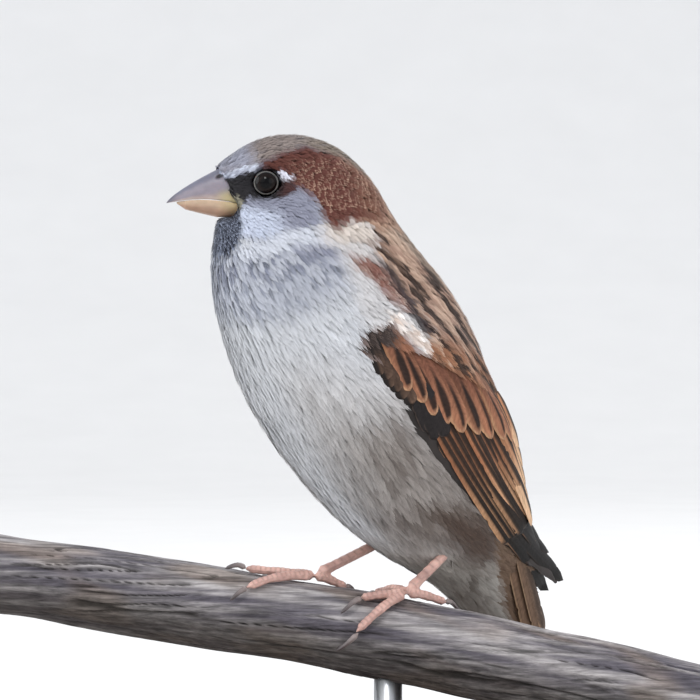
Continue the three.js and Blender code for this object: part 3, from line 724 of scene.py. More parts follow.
        # the head
        self.colour(within(CROWN, at, 1.0) * head, "8b7f79", "68605d", "968a84")
        self.colour(within(CROWN, at, 0.8) * smooth((-27 - x) / 5), "9899a6", "73737e", "a3a5b2")
        self.colour(within(CROWN, at, 0.9) * smooth((x + 21) / 7), "877a6e", "655b51", "928577")
        dots = within(CROWN, at, 0.5) * smooth(grain(np.column_stack([x / 2, at[:, 1], z]), 0.9, 16) * 1.7 - 0.5)
        self.colour(dots * 0.45 * head, "57535a", "4a464c", "6d696f")
        chestnut = within(CHESTNUT, at, 1.0)
        self.colour(chestnut, "5c332b", "3f221c", "633a31")
        self.colour(chestnut * smooth((x + 12) / 7), "6e4838", "4a2f26", "7c5645")
        scallop = chestnut * smooth((x + 24) / 4) * smooth((142.4 - z) / 2.0)
        scallop = scallop * np.where(z < 131.0, 0.2, 1.0) * (0.2 + 0.65 * dice.random(len(at)))
        self.fringe = mix(self.fringe, tone("cfac94"), scallop[:, None])
        broken = smooth(0.75 + 0.8 * grain(at, 0.9, 17))
        self.colour(within(BROW, at, 0.45) * broken, "ccd1de", "9ea4b3", "d6dbe6")
        self.colour(within(EYE_PATCH, at, 0.45), "201e21", "171618", "2b292d")
        grizzled = within(EYE_PATCH, at, 0.45) * smooth((135.2 - z) / 1.2) * smooth((x + 31) / 2) * (chance < 0.45)
        self.colour(grizzled * 0.8, "55565f", "3c3d44", "74757f")
        rear = within(EYE_PATCH, at, 0.45) * smooth((x + 26) / 3)
        self.colour(rear * 0.8, "4a2c2a", "352020", "5a3836")
        self.colour(within(GAPE_SKIN, at, 0.3), "8b8777", "736f60", "989482")
        self.colour(within(EYE_SPOT, at, 0.35), "dddde8", "b0b0bc", "e4e4ee")
        bib = within(BIB, at, 0.6) * smooth((8.4 - across) / 1.2)
        self.colour(bib, "383c49", "262830", "545a6a")
        self.colour(bib * smooth((5.4 - across) / 2.5) * (chance < 0.5) * 0.7, "747b8c", "4d515c", "9aa1b2")
        frosted = bib * smooth((131.5 - z) / 3) * (0.45 + 0.55 * (chance < 0.8))
        self.fringe = mix(self.fringe, tone("a5aec2"), frosted[:, None])
        below = smooth((5.0 - across) / 3) * smooth((z - 110) / 3) * smooth((121 - z) / 2) * (x < -20)
        self.colour(below * (chance < 0.22) * 0.8, "3f424b", "2f3138", "a8afbe")


# ---- Plumes: the small feathers ------------------------------------------------------------------

PLUME_SHAPES = 6
BARB_STEPS = np.array([0.0, 0.45, 0.78, 0.92, 1.0])


def plume_mesh(number):
    """A small feather of length and half breadth 1 along +X, as a fan of thin barbs."""
    dice = np.random.default_rng(70 + number)
    barbs = 10
    places, faces, side, reach = [], [], [], []
    for barb in range(barbs):
        lean = -1 + 2 * barb / (barbs - 1) + dice.uniform(-0.06, 0.06)
        end = 1 - 0.2 * abs(lean) ** 2.2 - dice.uniform(0, 0.24)
        curl = dice.uniform(-0.03, 0.03)
        first = len(places)
        for step in BARB_STEPS:
            t = step * end
            middle = lean * (0.22 + 0.78 * math.sin(math.pi * min(1, 0.15 + 0.72 * t)))
            half = 0.15 * (1 - 0.6 * step**4) if step < 1 else 0.0
            rise = 0.16 * math.sin(math.pi * t) - 0.1 * lean * lean * t + curl * t
            for edge in (-1, 1) if half else (0,):
                places.append((t, middle + edge * half, rise - 0.02 * abs(edge) * (1 - t)))
                side.append(middle)
                reach.append(step)
        faces += [(first + k, first + k + 2, first + k + 3, first + k + 1) for k in (0, 2, 4)]
        faces.append((first + 6, first + 8, first + 7, first + 7))
    quads = [f for f in faces if f[2] != f[3]]
    tips = [f[:3] for f in faces if f[2] == f[3]]
    mesh = new_mesh(f"plume_{number}", np.array(places) / MM, [quads, tips])
    store(mesh, "side", side, "FLOAT")
    store(mesh, "reach", reach, "FLOAT")
    strand = np.repeat(dice.random(barbs), len(places) // barbs)
    store(mesh, "strand", strand, "FLOAT")
    return mesh


def plumes_on_roots():
    """The node tree that sets a plume on each root, turned, sized and made real."""
    tree = bpy.data.node_groups.new("Plumes on roots", "GeometryNodeTree")
    tree.is_modifier = True
    for name, kind in (
        ("Roots", "NodeSocketGeometry"),
        ("Plume shapes", "NodeSocketCollection"),
        ("Coat", "NodeSocketMaterial"),
        ("Roll", "NodeSocketFloat"),
        ("Size variation", "NodeSocketFloat"),
        ("Seed", "NodeSocketInt"),
    ):
        tree.interface.new_socket(name, in_out="INPUT", socket_type=kind)
    tree.interface.new_socket("Feathers", in_out="OUTPUT", socket_type="NodeSocketGeometry")
    given = tree.nodes.new("NodeGroupInput").outputs

    def add(kind, settings=None, **inputs):
        node = tree.nodes.new(kind)
        for key, value in (settings or {}).items():
            setattr(node, key, value)
        for key, value in inputs.items():
            socket = node.inputs[key.replace("_", " ")]
            if isinstance(value, bpy.types.NodeSocket):
                tree.links.new(value, socket)
            else:
                socket.default_value = value
        return node

    def field(name, kind):
        node = add("GeometryNodeInputNamedAttribute", {"data_type": kind}, Name=name)
        return node.outputs["Attribute"]

    along = add("FunctionNodeAlignRotationToVector", {"axis": "X"}, Vector=field("chord", "FLOAT_VECTOR"))
    upright = add(
        "FunctionNodeAlignRotationToVector",
        {"axis": "Z", "pivot_axis": "X"},
        Rotation=along.outputs[0],
        Vector=field("rise", "FLOAT_VECTOR"),
    )
    roll_low = add("ShaderNodeMath", {"operation": "MULTIPLY"})
    tree.links.new(given["Roll"], roll_low.inputs[0])
    roll_low.inputs[1].default_value = -1.0
    roll = add(
        "FunctionNodeRandomValue",
        {"data_type": "FLOAT"},
    )
    tree.links.new(roll_low.outputs[0], roll.inputs[2])
    tree.links.new(given["Roll"], roll.inputs[3])
    tree.links.new(given["Seed"], roll.inputs["Seed"])
    turn = add("ShaderNodeCombineXYZ")
    tree.links.new(roll.outputs[1], turn.inputs["X"])
    rolled = add("FunctionNodeRotateRotation", {"rotation_space": "LOCAL"}, Rotation=upright.outputs[0])
    tree.links.new(turn.outputs[0], rolled.inputs[1])
    spare = add("ShaderNodeMath", {"operation": "SUBTRACT"})
    spare.inputs[0].default_value = 1.0
    tree.links.new(given["Size variation"], spare.inputs[1])
    size = add("FunctionNodeRandomValue", {"data_type": "FLOAT"})
    size.inputs[3].default_value = 1.0
    tree.links.new(spare.outputs[0], size.inputs[2])
    tree.links.new(given["Seed"], size.inputs["Seed"])
    scaled = add("ShaderNodeVectorMath", {"operation": "SCALE"})
    tree.links.new(field("measures", "FLOAT_VECTOR"), scaled.inputs[0])
    tree.links.new(size.outputs[1], scaled.inputs["Scale"])
    shapes = add("GeometryNodeCollectionInfo", Collection=given["Plume shapes"])
    shapes.inputs["Separate Children"].default_value = True
    shapes.inputs["Reset Children"].default_value = True
    placed = add(
        "GeometryNodeInstanceOnPoints",
        Points=given["Roots"],
        Instance=shapes.outputs[0],
        Instance_Index=field("shape", "INT"),
        Rotation=rolled.outputs[0],
        Scale=scaled.outputs[0],
    )
    placed.inputs["Pick Instance"].default_value = True
    real = add("GeometryNodeRealizeInstances", Geometry=placed.outputs[0])
    coated = add("GeometryNodeSetMaterial", Geometry=real.outputs[0], Material=given["Coat"])
    result = tree.nodes.new("NodeGroupOutput")
    tree.links.new(coated.outputs[0], result.inputs[0])
    return tree


# How a plume grows: its length, half breadth and the distance to the next root, in mm.
PLUME_SIZES = {
    "face": (1.9, 0.28, 0.4),
    "crown": (2.9, 0.4, 0.55),
    "scaled": (3.2, 0.85, 0.9),
    "nape": (4.4, 0.5, 0.67),
    "breast": (6.0, 0.52, 0.74),
    "belly": (7.2, 0.56, 0.8),
    "shoulder": (4.6, 0.55, 0.68),
    "mantle": (6.4, 0.62, 0.82),
    "back": (6.4, 0.7, 0.9),
    "vent": (6.4, 0.62, 0.85),
}


def plume_sizes(straight):
    """Length, half breadth and spacing at places of the straight bird."""
    x, z = straight[:, 0], straight[:, 2]
    from_bill = np.hypot(x + 36.0, 1.1 * (z - 134.0))
    sizes = np.tile(PLUME_SIZES["belly"], (len(x), 1))

    def lay(share, name):
        nonlocal sizes
        sizes = mix(sizes, np.array(PLUME_SIZES[name]), np.asarray(share)[:, None])

    lay(smooth((z - 96) / 14), "breast")
    lay(smooth(backness(straight) / 0.3), "back")
    lay(smooth((66 - z) / 10), "vent")
    lay(within(SCAPULARS, straight, 1.5), "mantle")
    lay(within(SHOULDER, straight, 1.5), "shoulder")
    head = smooth((z - 116 + 0.3 * (x + 30)) / 14)
    lay(head, "nape")
    lay(smooth((z - 126 - 0.4 * (x + 20)) / 8) * head, "crown")
    lay(within(CHESTNUT, straight, 1.0) * smooth((x + 22) / 4), "scaled")
    face = 1 - smooth((from_bill - 5.5) / 11)
    lay(face, "face")
    round_eye = np.hypot(x + 27.6, z - 136.9)
    lay((1 - smooth((round_eye - 3.4) / 4)) * head, "face")
    return sizes


def apart(places, spacing, seed):
    """Numbers of a subset of the places that keeps each at least its spacing from the others."""
    order = np.random.default_rng(seed).permutation(len(places))
    cell = float(spacing.max())
    boxes, kept = {}, []
    keys = np.floor(places / cell).astype(int)
    near_keys = [(i, j, k) for i in (-1, 0, 1) for j in (-1, 0, 1) for k in (-1, 0, 1)]
    listed, wide = places.tolist(), (spacing**2).tolist()
    for index in order.tolist():
        x, y, z = listed[index]
        a, b, c = keys[index].tolist()
        limit = wide[index]
        free = True
        for i, j, k in near_keys:
            for px, py, pz in boxes.get((a + i, b + j, c + k), ()):
                if (px - x) ** 2 + (py - y) ** 2 + (pz - z) ** 2 < limit:
                    free = False
                    break
            if not free:
                break
        if free:
            boxes.setdefault((a, b, c), []).append((x, y, z))
            kept.append(index)
    return np.array(kept)


def unwrapped(straight, along):
    """The skin laid flat: how far round the body, and how far from the bill to the tail."""
    to_back = (straight[:, [0, 2]] - SPINE_FROM) @ TO_BACK
    return np.stack([0.5 + np.arctan2(straight[:, 1], to_back) / (2 * np.pi), along], 1)


def filled(flat):
    """The same layout stretched over the map, with a margin."""
    low, high = flat.min(0), flat.max(0)
    return 0.02 + 0.955 * (flat - low) / (high - low)


def bake_map(mesh, flat):
    """Gives the mesh its OFBake map from one place for each vertex."""
    corners = np.empty(len(mesh.loops), np.int32)
    mesh.loops.foreach_get("vertex_index", corners)
    layer = mesh.uv_layers.new(name="OFBake")
    layer.uv.foreach_set("vector", flat[corners].astype(np.float32).ravel())


REGIONS = ("face", "crown", "throat", "neck", "breast", "belly", "flank_left", "flank_right", "back", "vent")


def region_of(straight):
    """The number of the coat piece that each root belongs to."""
    x, y, z = straight.T
    back = backness(straight)
    level = z + 0.35 * (x + 30)
    found = np.full(len(x), REGIONS.index("belly"))
    found[(np.abs(y) > 7.5) & (y < 0)] = REGIONS.index("flank_left")
    found[(np.abs(y) > 7.5) & (y > 0)] = REGIONS.index("flank_right")
    found[z > 99] = REGIONS.index("breast")
    found[back > 0.1] = REGIONS.index("back")
    found[z < 66] = REGIONS.index("vent")
    found[level > 119] = REGIONS.index("neck")
    found[(level > 119) & (x < -19)] = REGIONS.index("throat")
    found[z - 0.3 * (x + 30) > 128] = REGIONS.index("crown")
    found[np.hypot(x + 38, z - 133) < 12.5] = REGIONS.index("face")
    return found


EYE_AXIS = {side: pose(np.array([[-27.6 - 0.14, sign * 1.0, 136.9]])) - pose(np.array([[-27.6, 0.0, 136.9]]))
            for side, sign in (("left", -1), ("right", 1))}
EYE_AXIS = {side: unit(axis)[0] for side, axis in EYE_AXIS.items()}
OPENING = 2.25  # radius of the ring of the lids


def from_eye_axis(places):
    """The distance from the nearer eye's axis, on that eye's side of the head."""
    nearest = np.full(len(places), 99.0)
    for side, axis in EYE_AXIS.items():
        apart_from = places - np.array(EYES[side])
        out = apart_from @ axis
        off = np.linalg.norm(apart_from - out[:, None] * axis, axis=1)
        nearest = np.where(out > 0, np.minimum(nearest, off), nearest)
    return nearest


class Coat:
    """The roots of the small feathers and how each lies."""

    def __init__(self, tries=170000, seed=11):
        dice = np.random.default_rng(seed)
        corners = body.triangles
        a, b, c = (body.outline[corners[:, k]] for k in range(3))
        middle = body.straight[corners].mean(1)
        area = np.linalg.norm(np.cross(b - a, c - a), axis=1) / 2
        spacing = plume_sizes(middle)[:, 2]
        bare = self.bare()[corners].mean(1) > 0.5
        chance = np.where(bare, 0, area / spacing**2)
        found = dice.choice(len(corners), tries, p=chance / chance.sum())
        weights = dice.dirichlet((1, 1, 1), tries)
        places = body.value(body.outline, found, weights)
        kept = apart(places, spacing[found], seed)
        found, weights, places = found[kept], weights[kept], places[kept]
        lie = unit(body.value(body.lie, found, weights))
        normal = unit(body.value(body.normals, found, weights))
        straight = body.value(body.straight, found, weights)
        sizes = plume_sizes(straight)
        along = body.value(body.along[:, None], found, weights)[:, 0]
        count = len(kept)
        across = np.cross(normal, lie)
        lie = unit(lie + dice.normal(0, 0.09, (count, 1)) * across)
        length = sizes[:, 0] * dice.uniform(0.82, 1.15, count)
        tips = np.empty_like(places)
        for i, aim in enumerate((places + lie * length[:, None]).tolist()):
            hit, out, _, _ = body.tree.find_nearest(aim)
            tips[i] = np.array(hit)
        lift = np.clip(0.03 * length, 0.03, 0.13) * dice.uniform(-1.0, 1.0, count)
        tips += normal * (lift - 0.75 * smooth((60 - straight[:, 2]) / 8) * (straight[:, 0] < 30))[:, None]
        roots = body.value(body.skin, found, weights)
        shown = (from_eye_axis(tips) > OPENING + 0.25) & (from_eye_axis(places) > OPENING + 0.3)
        chord = tips - roots
        reach = np.linalg.norm(chord, axis=1)
        shown &= reach > 0.4
        self.roots, self.chord, self.rise = roots[shown], chord[shown], normal[shown]
        self.reach, self.half = reach[shown], sizes[shown, 1]
        self.straight = straight[shown]
        self.flat = unwrapped(self.straight, along[shown])
        self.shown_at = mix(self.straight, straighten(tips[shown]), 0.85)
        self.shape = dice.integers(0, PLUME_SHAPES, len(self.roots))
        self.light = np.exp(dice.normal(0, 0.035, len(self.roots)))

    def bare(self):
        """Which vertices of the outline grow no small feathers: wings and the rims of the eyes."""
        on_wing = np.minimum(near(body.outline, "wing_left"), near(body.outline, "wing_right")) < 0.55
        on_wing &= within(SHOULDER, body.straight, 0.3) < 0.5
        on_wing &= within(SCAPULARS, body.straight, 0.3) < 0.5
        on_wing &= within(OVER_WING_EDGE, body.straight, 0.3) < 0.5
        on_wing &= backness(body.straight) < 0.62
        on_wing = relaxed(on_wing[:, None].astype(float), body.edges, 3, keeps_size=False)[:, 0]
        under_bill = np.minimum(near(body.outline, "bill_upper"), near(body.outline, "bill_lower")) < 0.4
        return np.maximum(on_wing, under_bill | (from_eye_axis(body.outline) < OPENING + 0.1))

    def grow(self, chosen, name, shapes, tree, material):
        """One coat piece from the chosen roots."""
        mesh = bpy.data.meshes.new("roots")
        mesh.from_pydata((self.roots[chosen] * MM).tolist(), [], [])
        store(mesh, "chord", self.chord[chosen], "FLOAT_VECTOR")
        store(mesh, "rise", self.rise[chosen], "FLOAT_VECTOR")
        long, half = self.reach[chosen], self.half[chosen]
        high = np.minimum(long, 2 + 0.2 * long)
        store(mesh, "measures", np.stack([long, half, high], 1) * MM, "FLOAT_VECTOR")
        for key, values in (("shape", self.shape[chosen]), ("number", np.flatnonzero(chosen))):
            mesh.attributes.new(key, "INT", "POINT").data.foreach_set("value", values.astype(np.int32))
        thing = new_object("roots_" + name, mesh)
        growth = thing.modifiers.new("growth", "NODES")
        growth.node_group = tree
        given = {
            "Plume shapes": shapes, "Coat": material, "Roll": 0.1, "Size variation": 0.12, "Seed": 5,
        }
        for item in tree.interface.items_tree:
            if item.name in given:
                growth[item.identifier] = given[item.name]
        mesh = evaluated_mesh(thing)
        mesh.name = name
        return mesh

    def paint(self, mesh, markings):
        """Colours, the bake map and soft normals for one coat piece."""
        number = np.empty(len(mesh.vertices), np.int32)
        mesh.attributes["number"].data.foreach_get("value", number)
        side, reach, strand = (stored(mesh, key, 1) for key in ("side", "reach", "strand"))
        tint = markings.main[number]
        fringe = smooth((reach - 0.86) / 0.08)[:, None]
        tint = mix(tint, markings.fringe[number], fringe)
        base = smooth((0.52 - reach) / 0.3)[:, None]
        tint = mix(tint, markings.base[number], base)
        middle = smooth((0.62 - np.abs(side)) / 0.25) * smooth((0.97 - reach) / 0.14)
        tint = mix(tint, markings.dark[number], (middle * markings.streak[number])[:, None])
        tint = tint * (self.light[number] * (0.92 + 0.16 * strand))[:, None]
        store(mesh, "tint", tint)
        flat = self.flat[number]
        layout = filled(flat)
        patch = np.stack([side, 2 * reach - 1], 1) * 0.0015
        bake_map(mesh, np.clip(layout + patch, 0, 1))
        rise = self.rise[number]
        across = unit(np.cross(rise, self.chord[number]))
        lean = unit(rise + 0.16 * side[:, None] * across)
        mesh.normals_split_custom_set_from_vertices(lean.tolist())
        for key in ("side", "reach", "strand", "number", "shape", "chord", "rise", "measures"):
            if key in mesh.attributes:
                mesh.attributes.remove(mesh.attributes[key])


def make_coat():
    coat = Coat()
    markings = Markings(coat.shown_at)
    material = plumage_surface()
    shapes = bpy.data.collections.new("Plume shapes")
    bpy.context.scene.collection.children.link(shapes)
    for number in range(PLUME_SHAPES):
        shapes.objects.link(bpy.data.objects.new(f"plume_{number}", plume_mesh(number)))
    tree = plumes_on_roots()
    region = region_of(coat.straight)
    for index, name in enumerate(REGIONS):
        chosen = region == index
        mesh = coat.grow(chosen, f"coat_{name}", shapes, tree, material)
        coat.paint(mesh, markings)
        slot = "plumage_head" if name in ("face", "crown", "throat", "neck") else "plumage_pale"
        finished(new_object(f"coat_{name}", mesh), slot)
    for thing in list(shapes.objects):
        bpy.data.objects.remove(thing)
    bpy.data.collections.remove(shapes)



# ---- Skin, lids and legs ------------------------------------------------------------------------


def grid_faces(rows, columns, closed=True, first=0):
    """Quads of a net of rows of vertices. Closed nets join each row's ends."""
    row, column = np.meshgrid(np.arange(rows - 1), np.arange(columns - (not closed)), indexing="ij")
    after = (column + 1) % columns
    quads = [row * columns + column, row * columns + after, (row + 1) * columns + after, (row + 1) * columns + column]
    return first + np.stack(quads, -1).reshape(-1, 4)


def sideways(axis):
    """Two unit vectors across an axis. The second points upwards."""
    level = unit(np.cross(axis, (0, 0, 1.0)))
    return level, unit(np.cross(level, axis))


def eyelids(side):
    """The bare ring round one eye, as a closed net."""
    axis = EYE_AXIS[side]
    level, up = sideways(axis)
    height = math.sqrt(EYE_RADIUS**2 - OPENING**2)
    turn, around = np.meshgrid(np.linspace(0, 2 * np.pi, 72, False), np.linspace(0, 2 * np.pi, 14, False), indexing="ij")
    beads = 1 + 0.12 * np.abs(np.sin(14 * turn)) * (np.cos(around) > -0.2)
    radius = OPENING + 0.08 + 0.16 * np.cos(around) * beads
    out = height - 0.02 + 0.13 * np.sin(around) * beads - 0.5 * (radius - OPENING)
    ring = level * np.cos(turn)[..., None] * 1.03 + up * np.sin(turn)[..., None] * 0.98
    places = np.array(EYES[side]) + radius[..., None] * ring + out[..., None] * axis
    rows = np.concatenate([places, places[:1]]).shape[0]
    faces = grid_faces(rows, 14) % (72 * 14)
    return places.reshape(-1, 3), faces


SCUTE_PITCH = {"tarsus": 2.0, "toe": 1.05}
SCUTE_RISE = 0.11


def legs():
    """Tarsi and toes as one mesh, with scutes in front and pads below, and how deep each place is."""
    mesh = grown_union(TARSI + TOES, 0.22, 0.19)
    places, edges = places_of(mesh), edges_of(mesh)
    quads = np.array([p.vertices[:] for p in mesh.polygons])
    normals = unit(relaxed(normals_of(mesh), edges, 4, keeps_size=False))
    places = relaxed(places, edges, 8) - 0.2 * normals
    corners, faces, owner = [], [], []
    for name in TARSI + TOES:
        found = faces_of(nodes[name].data)
        faces.append(found + sum(len(c) for c in corners))
        corners.append(places_of(nodes[name].data))
        owner += [name] * len(found)
    tree = tree_of(np.concatenate(corners), np.concatenate(faces))
    nearest = np.array([tree.find_nearest(p)[2] for p in places.tolist()])
    owner = np.array(owner)[nearest]
    groove = np.zeros(len(places))
    for name in TARSI + TOES:
        mine = owner == name
        cloud = places_of(nodes[name].data)
        middle = cloud.mean(0)
        axis = np.linalg.svd(cloud - middle)[2][0]
        side = name.split("_")[1]
        ankle = places_of(nodes[f"tarsus_{side}"].data)
        front = np.array([-0.82, -0.57, 0.0])
        if name.startswith("toe"):
            foot = ankle[ankle[:, 2] < ankle[:, 2].min() + 2].mean(0)
            axis *= np.sign((middle - foot) @ axis)
            front = np.array([0, 0, 1.0])
        along = (places[mine] - middle) @ axis / SCUTE_PITCH[name.split("_")[0]]
        plate = np.abs(np.sin(np.pi * along)) ** 0.45
        facing = smooth(0.5 + 1.6 * (normals[mine] @ front))
        groove[mine] = (1 - plate) * facing
        pads = 0.5 + 0.5 * grain(places[mine], 0.55, 8)
        groove[mine] += 0.5 * (1 - facing) * pads
    places = places + SCUTE_RISE * (0.5 - groove)[:, None] * normals
    return places, quads, groove


def skin_surface():
    surface = Surface("Skin", roughness=0.5, specular_ior_level=0.4)
    surface.shader.inputs["Subsurface Weight"].default_value = 0.06
    surface.shader.inputs["Subsurface Scale"].default_value = 0.6 * MM
    tint = surface.attribute("tint").outputs["Color"]
    mottle = surface.noise(surface.places(), 900.0, 4.0)
    tint = surface.times(tint, surface.spans(mottle, 0.3, 0.7, 0.88, 1.1))
    pores = surface.noise(surface.places(), 3600.0, 2.0)
    return surface.coloured(tint).relief(mottle, 0.3, 0.08).relief(pores, 0.2, 0.03).material


def make_skin():
    """One skin from the face to the toes, in the colours of the coat."""
    markings = Markings(body.straight)
    tint = 0.5 * (markings.main + markings.base)
    # Painted shade: the skin under the lower wing is dark brown, so gaps between the wing's feathers read as shadow.
    painted_shade_under_wing = np.minimum(near(body.outline, "wing_left"), near(body.outline, "wing_right")) < 0.5
    painted_shade_under_wing &= body.straight[:, 2] < 99
    tint[painted_shade_under_wing] = tone("2f2724")
    rim = smooth((OPENING + 1.2 - from_eye_axis(body.skin)) / 0.5)[:, None]
    parts = [(body.skin, body.quads, mix(tint, tone("3f3d42"), rim))]
    for side in SIDES:
        places, faces = eyelids(side)
        shade = 0.5 + 0.5 * grain(places, 0.5, 4)[:, None]
        parts.append((places, faces, mix(tone("3a3836"), tone("625f5b"), shade)))
    places, faces, groove = legs()
    pink = mix(tone("dfb5a7"), tone("be988c"), (0.5 + 0.5 * grain(places, 2.2, 6))[:, None])
    dusky = smooth(0.5 + 0.6 * grain(places, 3.4, 9))[:, None]
    pink = mix(pink, tone("9c7872"), 0.45 * dusky)
    parts.append((places, faces, mix(pink, tone("7d625c"), 0.7 * np.clip(groove, 0, 1)[:, None])))
    first, all_faces = 0, []
    for places, faces, _ in parts:
        all_faces.append(faces + first)
        first += len(places)
    mesh = new_mesh("skin", np.concatenate([part[0] for part in parts]), all_faces)
    store(mesh, "tint", np.concatenate([part[2] for part in parts]))
    skin = new_object("skin", mesh, skin_surface())
    finished(skin, "plumage_pale", "head", "neck", "trunk", "thigh_left", "thigh_right", *TARSI, *TOES)


# ---- Eyes, bill and claws ------------------------------------------------------------------------


def make_eyes():
    surface = Surface("Eye", roughness=0.05, ior=1.24)
    tint = surface.attribute("tint").outputs["Color"]
    threads = surface.noise(surface.places(), 2600.0, 3.0)
    surface.coloured(surface.times(tint, surface.spans(threads, 0.3, 0.7, 0.8, 1.25)))
    for side in SIDES:
        axis = EYE_AXIS[side]
        level, up = sideways(axis)
        off = np.linspace(0, np.pi, 49)
        turn = np.linspace(0, 2 * np.pi, 64, False)
        off, turn = np.meshgrid(off, turn, indexing="ij")
        radius = EYE_RADIUS * (1 + 0.035 * np.exp(-((off / 0.55) ** 2)))
        ring = level * np.cos(turn)[..., None] + up * np.sin(turn)[..., None]
        places = radius[..., None] * (axis * np.cos(off)[..., None] + ring * np.sin(off)[..., None])
        places = (places + np.array(EYES[side])).reshape(-1, 3)
        off = off.ravel()
        iris = smooth((off - 0.42) / 0.06) * smooth((0.86 - off) / 0.1)
        shade = mix(tone("030304"), tone("130b08"), iris[:, None])
        mesh = new_mesh(f"eye_ball_{side}", places, [grid_faces(49, 64)])
        store(mesh, "tint", shade)
        weld(mesh)
        ball = new_object(f"eye_ball_{side}", mesh, surface.material)
        finished(ball, "eye", f"eye_{side}")


def weld(mesh, distance=0.002):
    """Joins places that coincide, such as the poles of a net, and turns all faces outwards."""
    shape = bmesh.new()
    shape.from_mesh(mesh)
    bmesh.ops.remove_doubles(shape, verts=shape.verts, dist=distance * MM)
    bmesh.ops.dissolve_degenerate(shape, edges=shape.edges, dist=0.0005 * MM)
    bmesh.ops.recalc_face_normals(shape, faces=shape.faces)
    shape.to_mesh(mesh)
    shape.free()


BILL_ROOT_X, BILL_TIP_X, BILL_TIP_Z = -32.4, -47.7, 132.6
BILL_HALF_WIDTH, BILL_FULLNESS = 4.3, 0.92
GAPE_GAP = 0.14  # between the edges of the closed bill
LOWER_BILL_SHORTER = 2.2
NOSTRIL = (-36.9, 138.2)


def bill_lines(x):
    """Half width, and heights of the culmen, the gape and the lower edge, of the bill at x."""
    share = np.clip((x - BILL_TIP_X) / (BILL_ROOT_X - BILL_TIP_X), 0, 1)
    top = BILL_TIP_Z + 9.3 * share**0.75
    low = BILL_TIP_Z - 2.85 * np.minimum(1, 1.45 * share) ** 0.85
    gape = BILL_TIP_Z + 0.85 * np.sin(np.pi * np.minimum(1, 1.02 * share))
    return BILL_HALF_WIDTH * share**0.72, top, gape, low


def bill_half(upper):
    """One half of the bill as rows of closed sections from its tip to its root."""
    rows, across = 72, 56
    sections = []
    for row_share in np.linspace(0, 1, rows) ** 1.5:
        x = mix(BILL_TIP_X + (0 if upper else LOWER_BILL_SHORTER), BILL_ROOT_X, row_share)
        share = (x - BILL_TIP_X) / (BILL_ROOT_X - BILL_TIP_X)
        half, top, gape, low = bill_lines(x)
        if not upper:
            grown = min(1, row_share / 0.14) ** 0.5
            half, low = half * mix(0.1, 1, grown), mix(gape - 0.2, low, grown)
        middle, size = (top + low) / 2, max(top - low, 1e-6)
        edge = gape + (GAPE_GAP / 2 if upper else -GAPE_GAP / 2)
        level = np.clip(2 * (edge - middle) / size, -0.99, 0.99)
        turn = math.acos(math.copysign(abs(level) ** (1 / BILL_FULLNESS), level))
        angles = np.linspace(-turn, turn, across) if upper else np.linspace(turn, 2 * np.pi - turn, across)
        s, c = np.sin(angles), np.cos(angles)
        y = half * np.sign(s) * np.abs(s) ** BILL_FULLNESS
        z = middle + 0.5 * size * np.sign(c) * np.abs(c) ** BILL_FULLNESS
        inner = np.linspace(1, -1, 15)[1:-1]
        edge_y, hollow = y[-1], (0.5 if upper else -0.25) * min(1, 3 * share) * half / BILL_HALF_WIDTH
        y = np.concatenate([y, inner * edge_y])
        z = np.concatenate([z, edge + hollow * (1 - inner**2)])
        sections.append(np.stack([np.full(len(y), x), y, z], 1))
    return np.array(sections)


def nostril_depth(places):
    x, y, z = places[:, 0], np.abs(places[:, 1]), places[:, 2]
    along, high = (x - NOSTRIL[0]) * 0.93 + (z - NOSTRIL[1]) * 0.36, (z - NOSTRIL[1]) * 0.93 - (x - NOSTRIL[0]) * 0.36
    return np.exp(-((along / 0.62) ** 2) - ((high / 0.34) ** 2)) * (y > 0.8)


def bill_surface():
    surface = Surface("Bill horn", roughness=0.34, specular_ior_level=0.5)
    surface.shader.inputs["Subsurface Weight"].default_value = 0.08
    surface.shader.inputs["Subsurface Scale"].default_value = 0.8 * MM
    tint = surface.attribute("tint").outputs["Color"]
    growth = surface.noise(surface.places((0.35, 1.0, 1.0)), 1300.0, 4.0)
    cloud = surface.noise(surface.places(), 420.0, 3.0)
    tint = surface.times(tint, surface.spans(growth, 0.3, 0.7, 0.92, 1.06))
    tint = surface.times(tint, surface.spans(cloud, 0.3, 0.7, 0.92, 1.06))
    return surface.coloured(tint).relief(growth, 0.25, 0.05).material


